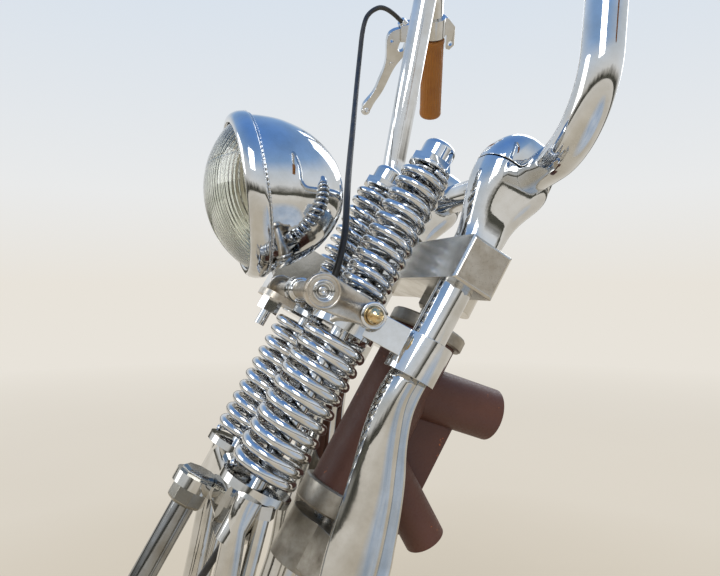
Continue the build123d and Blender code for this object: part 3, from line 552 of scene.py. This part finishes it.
class SPRINGER_OT_lamp(bpy.types.Operator):
    """Makes the headlamp's shell, beaded rim, fluted lens, reflector and bulb"""

    bl_idname = "springer.lamp"
    bl_label = "Headlamp"

    def execute(self, context):
        sizes = context.scene.springer_lamp
        r, depth = sizes.radius / MM, sizes.depth / MM
        shell = shell_outline(r, depth, 0) + shell_outline(r, depth, SHELL_WALL)[::-1]
        lathe("lamp_shell_skin", shell, LAMP, LAMP_SIDES, "chrome", ["lamp_shell"])
        rim = [
            (-3.4, -6.2), (-1.2, -6.6), (-0.1, -5.6), (0, -3.5), (0, -1), (-0.25, 1), (-0.9, 3.2),
            (-2.0, 5.4), (-3.6, 7.2), (-5.4, RIM_FRONT), (-7.6, 7.9), (-8.8, 7.1), (-8.6, 6.4),
            (-6.4, 4.4), (-4.6, 2), (-3.6, -2)]
        lathe("lamp_rim_ring", [(r + a, b) for a, b in rim], LAMP, LAMP_SIDES, "chrome", ["lamp_rim"])
        self.add_bead(r - SEAM_IN)
        self.add_lens(r - LENS_IN, sizes.flute / MM)
        self.add_inside(r)
        return {"FINISHED"}

    def add_bead(self, radius):
        """The rolled seam behind the rim, crimped like a rope."""
        beads, per_bead, sides = 112, 6, 10
        rings = []
        for j in range(beads * per_bead):
            angle = math.tau * j / (beads * per_bead)
            thick = 0.6 + 0.25 * abs(math.cos(beads * angle / 2))
            ring = []
            for k in range(sides):
                a = math.tau * k / sides
                out = radius + thick * math.cos(a)
                ring.append(LAMP @ (Vector((
                    out * math.cos(angle), out * math.sin(angle), SEAM_LOW + thick * math.sin(a))) * MM))
            rings.append(ring)
        piece("lamp_seam_bead", *skin(rings, closed=True), "chrome")

    def add_lens(self, radius, width):
        """A smooth glass dome, fluted on its inner face."""
        dome = (radius * radius + LENS_BULGE * LENS_BULGE) / (2 * LENS_BULGE)
        centre = LENS_BASE + LENS_BULGE - dome
        sides, steps = 480, 76
        outside = [(i, False) for i in (LENS_POLE, *range(1, steps + 1, 3))]
        inside = [(i, True) for i in (*range(steps, 0, -1), LENS_POLE)]
        rings = []
        for i, fluted in outside + inside:
            ring = []
            for j in range(sides):
                a = math.tau * j / sides
                x, y = radius * i / steps * math.cos(a), radius * i / steps * math.sin(a)
                z = centre + math.sqrt(dome ** 2 - x * x - y * y)
                if fluted:
                    z = z - LENS_THICK + flutes(x, y, radius, width)
                ring.append(LAMP @ (Vector((x, y, z)) * MM))
            rings.append(ring)
        piece("lamp_lens_glass", *skin(rings), "lens_glass", replaces=["lamp_lens"])

    def add_inside(self, r):
        """The reflector's bowl, the bulb and its brass cap."""
        bowl = eased([(r - 9, 1), (r - 17, -15), (r - 33, -34), (r - 52, -47)], 8)
        back = [(a + 1.2, b - 1.2) for a, b in reversed(bowl)]
        lathe("lamp_reflector_bowl", bowl + back, LAMP, 96, "chrome", finish=finish_of("reflector"))
        glass = [(8.5 * math.cos(a), -18 + 9.5 * math.sin(a))
                 for a in (math.pi * (i / 16 - 0.5) for i in range(3, 17))]
        lathe("lamp_bulb_glass", [(5, -34), (5, -30), *glass, (0.05, -40)], LAMP, 48, "lens_glass")
        cap = [(0.05, -50), (12, -50), (12.5, -46), (10, -42), (9, -34), (0.05, -33)]
        lathe("lamp_bulb_cap", cap, LAMP, 48, "brass")


# Bracket fittings, in the steering frame's millimetres: X and Z of the eye and the nut, radii, and Y
SIDES = (("left", 1), ("right", -1))
LINK_EYE = (88, 137)
ACORN = (49, 140)
LINK_EYE_R = 12.5
LINK_TAIL_R = 8.5
LINK_BORE_R = 6.05
LINK_LOW = 82
LINK_FACE = 90
EYE_FACE = 91.5
COLLAR_Y = 20
LINK_POINTS = 256


def link_outline(inset, height, place):
    """A ring round the link: the eye, two straight sides and the smaller tail, pulled in by inset."""
    reach = Vector((ACORN[0] - LINK_EYE[0], -(ACORN[1] - LINK_EYE[1])))
    eye, tail = LINK_EYE_R - inset, LINK_TAIL_R - inset
    toward = math.atan2(reach.y, reach.x)
    open_angle = math.acos((eye - tail) / reach.length)
    ring = []
    for i in range(LINK_POINTS):
        angle = math.tau * i / LINK_POINTS
        off = math.atan2(math.sin(angle - toward), math.cos(angle - toward))
        heading = Vector((math.cos(angle), math.sin(angle)))
        if abs(off) >= open_angle:
            spot = heading * eye
        else:
            side = math.copysign(open_angle, off) + toward
            normal = Vector((math.cos(side), math.sin(side)))
            spot = heading * (eye / heading.dot(normal))
            if spot.dot(reach) > reach.length * (reach.length + tail * math.cos(open_angle)):
                along = heading.dot(reach)
                spot = heading * (along + math.sqrt(along ** 2 - reach.length_squared + tail ** 2))
        ring.append(place @ (Vector((spot.x, spot.y, height)) * MM))
    return ring


def eye_circle(radius, height, place):
    """A round ring about the link's eye with as many points as its outline."""
    return [place @ (Vector((radius * math.cos(a), radius * math.sin(a), height)) * MM)
            for a in (math.tau * i / LINK_POINTS for i in range(LINK_POINTS))]


class SPRINGER_OT_fittings(bpy.types.Operator):
    """Makes the side links with their eye rings, bolt ends, washers, acorn nuts and shaft collars"""

    bl_idname = "springer.fittings"
    bl_label = "Bracket fittings"

    def execute(self, context):
        ring = [(6.1, -3.6), (7.9, -3.6), (7.9, 0.2), (7.4, 0.75), (6.7, 0.75), (6.1, 0.1)]
        socket = [(6.1, -0.2), (5.9, -2.4), (5.1, -3.4), (3.9, -3.3), (3.5, -2.2), (0.05, -1.8), (0.05, -3.6),
                  (6.1, -3.6)]
        lip = [(10.2, -0.6), (10.7, 0.5), (11.6, 0.75), (12.2, 0.45), (12.4, -0.6)]
        washer = [(5.0, 0), (9.1, 0), (9.5, 0.4), (9.5, 1.6), (9.0, 2.0), (5.0, 2.0)]
        collar = [(6.4, 0), (9.6, 0), (9.9, 0.5), (9.9, 1.7), (9.4, 2.2), (8.2, 2.3), (8.0, 3.4), (7.6, 3.9),
                  (6.4, 4.0)]
        dome = [(5.9 * math.cos(a), 4.4 + 5.6 * math.sin(a)) for a in (0.12 * i for i in range(1, 11))]
        acorn = [(0.05, 1.9), (5.6, 1.9), (5.9, 2.3), (5.9, 4.4), *dome, (1.6, 9.9), (1.4, 10.5), (0.7, 11.0),
                 (0.05, 11.1)]
        thick = LINK_FACE - LINK_LOW
        edges = [(0.9, 0), (0.25, 0.25), (0, 0.9), (0, thick - 0.9), (0.25, thick - 0.25), (0.9, thick)]
        boss = [(12.3, thick), (12.25, thick + 0.9), (11.6, thick + 1.5), (7.6, thick + 1.5),
                (LINK_BORE_R, thick + 1.1)]
        for name, side in SIDES:
            back = on_side(LINK_EYE, LINK_LOW, side)
            plate = [eye_circle(LINK_BORE_R, 0, back)]
            plate += [link_outline(*edge, back) for edge in edges]
            plate += [eye_circle(*step, back) for step in boss]
            piece("link_plate_" + name, *skin(plate, closed=True), "satin_steel",
                  replaces=["side_link_" + name])
            eye = on_side(LINK_EYE, EYE_FACE, side)
            lathe("link_eye_ring_" + name, ring, eye, 64, "chrome")
            lathe("link_bolt_socket_" + name, socket, eye, 64, "chrome")
            lathe("link_eye_lip_" + name, lip, eye, 64, "satin_steel")
            tail = on_side(ACORN, LINK_FACE, side)
            lathe("link_washer_" + name, washer, tail, 48, "chrome")
            lathe("link_acorn_nut_" + name, acorn, tail, 48, "brass", ["link_nut_" + name])
            inside = on_side(LINK_EYE, COLLAR_Y, side)
            lathe("shaft_collar_" + name, collar, inside, 48, "chrome")
        return {"FINISHED"}


# Rigid legs, in the steering frame's millimetres; the edges are X and Z from the collar down
LEG_Y = 78.5
LEG_HALF = 13
WEB_HALF = 6
LEG_TOP = 116
LEG_EYE = (-52, -440)
LEG_EYE_R = 17
LEG_EYE_EDGE = 1.5
LEG_BORE_R = 8.05
ROUND_END = 92
BLADE_START = 32
BLADE_SKEW = 1.45
LOBE_FRONT = [
    (14, 116), (15, 96), (12.5, 72), (9, 55), (2.5, 24), (-3, -6), (-10, -34), (-26, -84),
    (-37, -170), (-40, -270), (-41, -380), (-42, -430)]
LOBE_REAR = [
    (-8, 116), (-8, 97), (-19, 66), (-35, 27), (-49, -20), (-60, -84), (-61, -170), (-63, -270),
    (-63, -380), (-62, -430)]
WEB_REAR = [
    (-15, 116), (-15, 104), (-17, 90), (-24, 71), (-35, 49), (-44, 27), (-51, 7), (-58, -15),
    (-65, -55), (-66, -100), (-61, -160)]


def edge_at(edge, height):
    """Where an edge of the leg is at a height."""
    line = eased(edge, 10)
    for (x0, z0), (x1, z1) in zip(line, line[1:]):
        if z1 <= height <= z0:
            return x1 if z0 == z1 else x0 + (x1 - x0) * (z0 - height) / (z0 - z1)
    return line[-1][0]


def blade_half(t):
    """Half thickness of the forging from its front (0) to its rear (1), thickest past the middle."""
    return LEG_HALF * math.sqrt(max(0.0, 1 - (2 * t ** BLADE_SKEW - 1) ** 2))


def leg_rings(front, rear, half_at, side):
    """Level sections of a forging between two edges, from the collar down to the rear edge's end."""
    rings = []
    steps, points = 120, 40
    for i in range(steps + 1):
        z = LEG_TOP + (rear[-1][1] - LEG_TOP) * i / steps
        a, b = edge_at(front, z), edge_at(rear, z)
        ring = []
        for k in range(2 * points):
            t = (1 - math.cos(math.pi * k / points)) / 2
            half = half_at(t, z) * (1 if k <= points else -1)
            ring.append(steering_point((a + (b - a) * t, side * LEG_Y + half, z)))
        rings.append(ring)
    return rings


def lobe_half(t, z):
    """The round under the collar that flows into the blade below."""
    share = max(0.0, min(1.0, (ROUND_END - z) / (ROUND_END - BLADE_START)))
    share = share * share * (3 - 2 * share)
    round_half = LEG_HALF * math.sqrt(max(0.0, 1 - (2 * t - 1) ** 2))
    return round_half + (blade_half(t) - round_half) * share


def web_half(t, z):
    """The thin web behind, with rounded edges."""
    return WEB_HALF * max(0.0, 1 - abs(2 * t - 1) ** 6) ** 0.5


class SPRINGER_OT_legs(bpy.types.Operator):
    """Forges the two rigid legs: a round top that flows into a blade, a thin web behind and an eye below"""

    bl_idname = "springer.legs"
    bl_label = "Rigid legs"

    def execute(self, context):
        middle = [((x + edge_at(LOBE_REAR, z)) / 2, z) for x, z in LOBE_FRONT]
        half, edge = LEG_HALF, LEG_EYE_EDGE
        eye = [(LEG_BORE_R, -half), (LEG_EYE_R - edge, -half), (LEG_EYE_R, edge - half),
               (LEG_EYE_R, half - edge), (LEG_EYE_R - edge, half), (LEG_BORE_R, half)]
        for name, side in SIDES:
            lobe = leg_rings(LOBE_FRONT, LOBE_REAR, lobe_half, side)
            piece("leg_lobe_" + name, *skin(lobe), "polished_forging", replaces=["rigid_leg_" + name])
            web = leg_rings(middle, WEB_REAR, web_half, side)
            piece("leg_web_" + name, *skin(web), "polished_forging")
            foot = on_side(LEG_EYE, LEG_Y, side)
            lathe("leg_eye_" + name, eye, foot, 72, "polished_forging")
        return {"FINISHED"}


# Handlebar: the tube is this much over the solid's radius, which keeps it clear of the risers' bores
PLATE_THICK = 0.12 * MM


class SPRINGER_OT_handlebar(bpy.types.Operator):
    """Bends the high handlebar and slips a grip on each end"""

    bl_idname = "springer.handlebar"
    bl_label = "Handlebar and grips"

    def execute(self, context):
        sizes = context.scene.springer_bars
        left = [steering_point(p) for p in BAR_CORNERS]
        right = [Vector((p.x, -p.y, p.z)) for p in left]
        corners = right[::-1] + left
        bends = [b * MM for b in BAR_BENDS[::-1] + BAR_BENDS]
        line = bent_line(corners, bends, math.radians(3))
        rings = tube_rings(line, [sizes.radius + PLATE_THICK] * len(line), 96)
        piece("handlebar_tube", *skin(rings), "chrome", replaces=["handlebar"])
        for side, half in (("left", left), ("right", right)):
            self.add_grip(side, half[-1], (half[-1] - half[-2]).normalized(), sizes)
        return {"FINISHED"}

    def add_grip(self, side, tip, out, sizes):
        """A grip with shallow grooves along it and a rounded end."""
        length, radius = sizes.grip_length, sizes.grip_radius
        start = tip + out * 5 * MM - out * length
        across = out.orthogonal().normalized()
        up = out.cross(across)
        rings = []
        grooves, sides = 24, 24 * 8
        long = length / MM
        stations = [(0, 0.80), (0.4, 0.90), (1.2, 0.965), (3, 1), (6, 1), (8, 0.955), (10, 0.955)]
        stations += [(10 + (long - 22) * i / 12, 0.955 + 0.015 * i / 12) for i in range(1, 12)]
        stations += [(long - a, r) for a, r in (
            (12, 0.97), (9, 0.985), (6, 1), (3, 0.985), (1.2, 0.93), (0.3, 0.84), (0, 0.74), (0, 0.3))]
        for place, share in stations:
            deep = 0.5 * MM if 10 <= place <= long - 12 else 0.0
            ring = []
            for j in range(sides):
                a = math.tau * j / sides
                r = radius * share - deep * (0.5 + 0.5 * math.cos(grooves * a))
                ring.append(start + out * place * MM + r * (math.cos(a) * across + math.sin(a) * up))
            rings.append(ring)
        piece("grip_" + side + "_rubber", *skin(rings), "grip_rubber", replaces=["grip_" + side])


# Brake cable
class SPRINGER_OT_cable(bpy.types.Operator):
    """Runs the brake cable from the lever to the leg along its real route"""

    bl_idname = "springer.cable"
    bl_label = "Brake cable"

    def execute(self, context):
        thick = context.scene.springer_bars.cable
        points = [steering_point(p) for p in CABLE_ROUTE]
        curve = bpy.data.curves.new("brake_cable_sheath", "CURVE")
        curve.dimensions = "3D"
        curve.resolution_u = 12
        curve.bevel_depth = thick / 2
        curve.bevel_resolution = 6
        curve.use_fill_caps = True
        spline = curve.splines.new("NURBS")
        spline.points.add(len(points) - 1)
        for target, point in zip(spline.points, points):
            target.co = (*point, 1.0)
        spline.order_u = 3
        spline.use_endpoint_u = True
        cable = bpy.data.objects.new("brake_cable_sheath", curve)
        context.scene.collection.objects.link(cable)
        cable.data.materials.append(finish_of("cable_black"))
        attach(cable, "fork")
        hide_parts("brake_cable")
        return {"FINISHED"}


# The frame's own pieces whose edges are broken as a file breaks them
FILED_EDGE = 0.5 * MM
FILED_ANGLE = math.radians(40)
WELD = 0.01 * MM
FILED_PIECES = (
    "top_clamp", "spring_bridge", "lower_crown", "damper_nut", "lever_perch", "brake_lever", "rocker_",
    "axle_nut_", "stem_nut", "lock_nut", "cable_stop", "rear_pivot", "front_pivot", "riser", "rod_nut")
# A face of the clamp that looks at least this squarely to one side is its end
END_FACING = 0.98


class SPRINGER_OT_metalwork(bpy.types.Operator):
    """Gives every piece of the frame its finish and breaks the sharp edges of the filed ones"""

    bl_idname = "springer.metalwork"
    bl_label = "Metalwork"

    def execute(self, context):
        for entry in frame["record"]["subparts"]:
            name = entry["node"]
            node = frame["nodes"][name]
            node.data.materials.clear()
            node.data.materials.append(finish_of(name if name in FINISHES else entry["material_slot"]))
            if name.startswith(FILED_PIECES):
                self.break_edges(node)
        self.leave_ends_satin(frame["nodes"]["top_clamp"])
        return {"FINISHED"}

    def break_edges(self, node):
        """A small round on each sharp edge, and flat faces that stay flat."""
        weld = node.modifiers.new("weld", "WELD")
        weld.merge_threshold = WELD
        edge = node.modifiers.new("edge", "BEVEL")
        edge.limit_method = "ANGLE"
        edge.angle_limit = FILED_ANGLE
        edge.width = FILED_EDGE
        edge.segments = 2
        edge.use_clamp_overlap = False
        edge.miter_outer = "MITER_ARC"
        normals = node.modifiers.new("normals", "WEIGHTED_NORMAL")
        normals.keep_sharp = True

    def leave_ends_satin(self, node):
        """The clamp's two end faces were milled and left so."""
        node.data.materials.append(finish_of("satin_steel"))
        for face in node.data.polygons:
            if abs(face.normal.y) > END_FACING:
                face.material_index = 1


# Studio: the floor fades into the backdrop's colour within this many metres
FLOOR_FAR = "#E8E3DA"
FLOOR_FADE = 10


def seen_directly(tree):
    """1 for rays from the camera, off metal or through glass, and 0 for those that only carry light."""
    rays = add(tree, "ShaderNodeLightPath").outputs
    first = add(tree, "ShaderNodeMath", {
        0: rays["Is Camera Ray"], 1: rays["Is Glossy Ray"]}, operation="MAXIMUM").outputs[0]
    return add(tree, "ShaderNodeMath", {
        0: first, 1: rays["Is Transmission Ray"]}, operation="MAXIMUM").outputs[0]


def studio_world():
    """A pale studio whose ceiling turns cool blue overhead."""
    world = bpy.data.worlds.new("studio")
    world.use_nodes = True
    tree = world.node_tree
    tree.nodes.clear()
    toward = add(tree, "ShaderNodeTexCoord").outputs["Generated"]
    height = add(tree, "ShaderNodeSeparateXYZ", {"Vector": toward}).outputs["Z"]
    sky = add(tree, "ShaderNodeValToRGB", {"Fac": height}, [
        (0.0, FLOOR_FAR), (0.14, "#E9EAEA"), (0.42, "#D9E2EC"), (0.64, "#93B6E2"), (1.0, "#6796DA")])
    seen = add(tree, "ShaderNodeBackground", {"Color": sky.outputs[0], "Strength": 1.0})
    lit = add(tree, "ShaderNodeBackground", {"Color": linear("#F1F3F6"), "Strength": 0.55})
    shown = add(tree, "ShaderNodeMixShader", {
        0: seen_directly(tree), 1: lit.outputs[0], 2: seen.outputs[0]})
    add(tree, "ShaderNodeOutputWorld", {"Surface": shown.outputs[0]})
    return world


def floor_paint(tree, shader, place):
    """Matt emulsion on a studio floor, which fades into the backdrop away from the object."""
    patch = add(tree, "ShaderNodeTexNoise", {
        "Vector": place, "Scale": 1 / (625 * MM), "Detail": 4.0}).outputs["Fac"]
    floor = list(bpy.context.scene.springer_colours.floor)
    base = add(tree, "ShaderNodeMix", {0: patch, 6: floor, 7: linear("#D0C4AE")}, data_type="RGBA")
    away = add(tree, "ShaderNodeVectorMath", {0: place}, operation="LENGTH").outputs["Value"]
    part = add(tree, "ShaderNodeMath", {0: away, 1: 1 / FLOOR_FADE}, operation="MULTIPLY").outputs[0]
    fade = add(tree, "ShaderNodeValToRGB", {"Fac": part}, [(0.04, 0.3), (0.14, 0.75), (0.45, 1.0)])
    tone = add(tree, "ShaderNodeMix", {0: fade.outputs[0], 6: base.outputs[2], 7: linear(FLOOR_FAR)},
               data_type="RGBA")
    glow = add(tree, "ShaderNodeEmission", {"Color": tone.outputs[2], "Strength": 1.0})
    share = add(tree, "ShaderNodeMath", {0: seen_directly(tree), 1: fade.outputs[0]}, operation="MULTIPLY")
    shown = add(tree, "ShaderNodeMixShader", {
        0: share.outputs[0], 1: shader.outputs[0], 2: glow.outputs[0]})
    fill(tree, tree.nodes["Material Output"], {"Surface": shown.outputs[0]})
    fill(tree, shader, {"Base Color": base.outputs[2], "Roughness": 0.85, "Specular IOR Level": 0.1})


def studio_prop(name, points, faces, place, finish):
    """A plain mesh of the studio in its finish."""
    mesh = bpy.data.meshes.new(name)
    mesh.from_pydata(points, [], faces)
    made = bpy.data.objects.new(name, mesh)
    made.location = place
    bpy.context.scene.collection.objects.link(made)
    made.data.materials.append(finish)
    return made


def only_in_reflections(prop):
    """Hides a prop from all but the polished metal."""
    prop.visible_camera = prop.visible_diffuse = False
    prop.visible_shadow = prop.visible_transmission = False


FLOOR_REACH = 60.0
FLOOR_DROP = 20 * MM


def studio_floor(centre, height):
    """A pale matt floor under the held piece."""
    x = y = FLOOR_REACH
    floor = studio_prop(
        "studio_floor", [(-x, -y, 0), (x, -y, 0), (x, y, 0), (-x, y, 0)], [(0, 1, 2, 3)],
        (centre.x, centre.y, height), material("pale_floor_paint", floor_paint))


# The cloth band's radius and the heights of its edges about the object's middle, in metres
BAND_RADIUS = 2.6
BAND_LOW = -0.06
BAND_HIGH = 0.6


def band_cloth(tree, shader, place):
    """Dull olive cloth that thins out towards its upper edge, so that metal shows a soft dark line."""
    height = add(tree, "ShaderNodeSeparateXYZ", {"Vector": place}).outputs["Z"]
    fold = add(tree, "ShaderNodeTexNoise", {
        "Vector": place, "Scale": 1 / (417 * MM), "Detail": 6.0}).outputs["Fac"]
    ragged = add(tree, "ShaderNodeMath", {0: fold, 1: 0.5, 2: height}, operation="MULTIPLY_ADD").outputs[0]
    thin = add(tree, "ShaderNodeValToRGB", {"Fac": ragged}, [(0.36, 0.94), (0.72, 0.0)])
    tint = add(tree, "ShaderNodeValToRGB", {"Fac": fold}, [(0.35, "#2B2C22"), (0.7, "#595A4C")])
    fill(tree, shader, {
        "Alpha": thin.outputs[0], "Base Color": tint.outputs[0], "Roughness": 1.0, "Specular IOR Level": 0.0})


def horizon_band(centre):
    """A low ring of dark cloth far round the object, which only its polished metal shows."""
    count = 96
    angles = [math.tau * i / count for i in range(count)]
    points = [(BAND_RADIUS * math.cos(a), BAND_RADIUS * math.sin(a), z)
              for z in (BAND_LOW, BAND_HIGH) for a in angles]
    faces = [(i, (i + 1) % count, count + (i + 1) % count, count + i) for i in range(count)]
    band = studio_prop("horizon_band", points, faces, centre, material("dark_band_cloth", band_cloth))
    only_in_reflections(band)


# The silk's middle over the object's foot, half its size along each axis, and where it is sheer
SILK_MIDDLE = Vector((-0.28, 0.52, 0.19))
SILK_HALF = (0.5, 0.42, 0.19)
SILK_SHEER = (0.5, 0.46)


def silk(tree, shader, place):
    """Pale blue-grey silk that glows by its own emission, a painted reflection of light: a little mottled, bright
    in its middle and sheer at its edges.
    """
    fade = (1 / SILK_SHEER[0], 1 / SILK_SHEER[1], 0.0)
    spread = add(tree, "ShaderNodeMapping", {"Vector": place, "Scale": fade}).outputs["Vector"]
    away = add(tree, "ShaderNodeTexGradient", {"Vector": spread}, gradient_type="SPHERICAL").outputs["Fac"]
    sheer = add(tree, "ShaderNodeValToRGB", {"Fac": away}, [(0.0, 0.0), (0.45, 1.0)])
    mottle = add(tree, "ShaderNodeTexNoise", {"Vector": place, "Scale": 1 / (160 * MM)}).outputs["Fac"]
    paint = add(tree, "ShaderNodeValToRGB", {"Fac": mottle}, [(0.3, "#D3DCE8"), (0.7, "#B4C4D9")])
    # the silk's colour is emitted, not lit by any lamp: a painted glow that the metal shows as a painted
    # reflection
    fill(tree, shader, {
        "Alpha": sheer.outputs[0], "Emission Color": paint.outputs[0], "Base Color": linear("#000000"),
        "Emission Strength": 1.0, "Specular IOR Level": 0.0})


def glowing_reflection_silk(low):
    """A sloping silk low on the left that glows by its own emission, which only the polished metal shows, as a
    painted reflection of light.
    """
    x, y, z = SILK_HALF
    made = studio_prop(
        "glowing_reflection_silk", [(-x, -y, -z), (x, -y, -z), (x, y, z), (-x, y, z)], [(0, 1, 2, 3)],
        SILK_MIDDLE + Vector((0, 0, low)), material("glowing_pale_silk", silk))
    only_in_reflections(made)


def softbox(name, place, target, width, height, power):
    """A soft lamp that faces a point."""
    data = bpy.data.lights.new(name, "AREA")
    data.shape = "RECTANGLE"
    data.size = width
    data.size_y = height
    data.energy = power
    made = bpy.data.objects.new(name, data)
    bpy.context.scene.collection.objects.link(made)
    made.location = place
    made.rotation_euler = (Vector(target) - Vector(place)).to_track_quat("-Z", "Y").to_euler()


# The photo was taken close by, on the left, level with the crown
CAMERA_PLACE = Vector((0.2791, 0.4856, 0.1170))
CAMERA_LOOK = Vector((-0.309, -0.951, -0.007))
CAMERA_LENS = 30.6


class SPRINGER_OT_stage(bpy.types.Operator):
    """Sets up the backdrop, the floor, the soft light and the camera at the photo's angle"""

    bl_idname = "springer.stage"
    bl_label = "Studio"

    def execute(self, context):
        scene = context.scene
        scene.world = studio_world()
        scene.view_settings.view_transform = "Standard"
        low, high = CAD_BOX
        middle = (low + high) / 2
        studio_floor(middle, low.z - FLOOR_DROP)
        horizon_band(middle)
        glowing_reflection_silk(low.z)
        softbox("key_softbox", middle + Vector((0.9, 1.6, 1.5)), middle, 0.9, 1.1, 22)
        softbox("fill_softbox", middle + Vector((1.9, -0.6, 0.9)), middle, 1.0, 1.0, 9)
        softbox("back_softbox", middle + Vector((-1.5, -1.2, 1.3)), middle, 1.0, 1.2, 12)

        camera = bpy.data.objects.new("camera", bpy.data.cameras.new("camera"))
        scene.collection.objects.link(camera)
        camera.location = CAMERA_PLACE
        camera.rotation_euler = CAMERA_LOOK.to_track_quat("-Z", "Y").to_euler()
        camera.data.lens = CAMERA_LENS
        camera.data.sensor_width = 36
        camera.data.clip_start = 0.01
        scene.camera = camera
        return {"FINISHED"}


class SPRINGER_PT_panel(bpy.types.Panel):
    """Lists the pieces of the front end"""

    bl_idname = "SPRINGER_PT_panel"
    bl_label = "Springer front end"
    bl_space_type = "VIEW_3D"
    bl_region_type = "UI"
    bl_category = "Springer"

    def draw(self, context):
        layout = self.layout
        for group in GROUPS:
            settings = getattr(context.scene, group)
            box = layout.box()
            for name in settings.__annotations__:
                box.prop(settings, name)
        for operator in OPERATORS:
            layout.operator(operator.bl_idname)


GROUPS = {
    "springer_springs": SpringerSprings,
    "springer_lamp": SpringerLamp,
    "springer_bars": SpringerBars,
    "springer_colours": SpringerColours,
}
OPERATORS = [
    SPRINGER_OT_metalwork,
    SPRINGER_OT_springs,
    SPRINGER_OT_legs,
    SPRINGER_OT_lamp,
    SPRINGER_OT_fittings,
    SPRINGER_OT_handlebar,
    SPRINGER_OT_cable,
    SPRINGER_OT_stage,
]
CLASSES = [*GROUPS.values(), *OPERATORS, SPRINGER_PT_panel]


def register():
    for made in CLASSES:
        bpy.utils.register_class(made)
    for name, group in GROUPS.items():
        setattr(bpy.types.Scene, name, PointerProperty(type=group))


def unregister():
    for name in GROUPS:
        delattr(bpy.types.Scene, name)
    for made in reversed(CLASSES):
        bpy.utils.unregister_class(made)


def main():
    register()
    bpy.ops.springer.metalwork()
    bpy.ops.springer.springs()
    bpy.ops.springer.legs()
    bpy.ops.springer.lamp()
    bpy.ops.springer.fittings()
    bpy.ops.springer.handlebar()
    bpy.ops.springer.cable()
    bpy.ops.springer.stage()


if __name__ == "__main__":
    main()
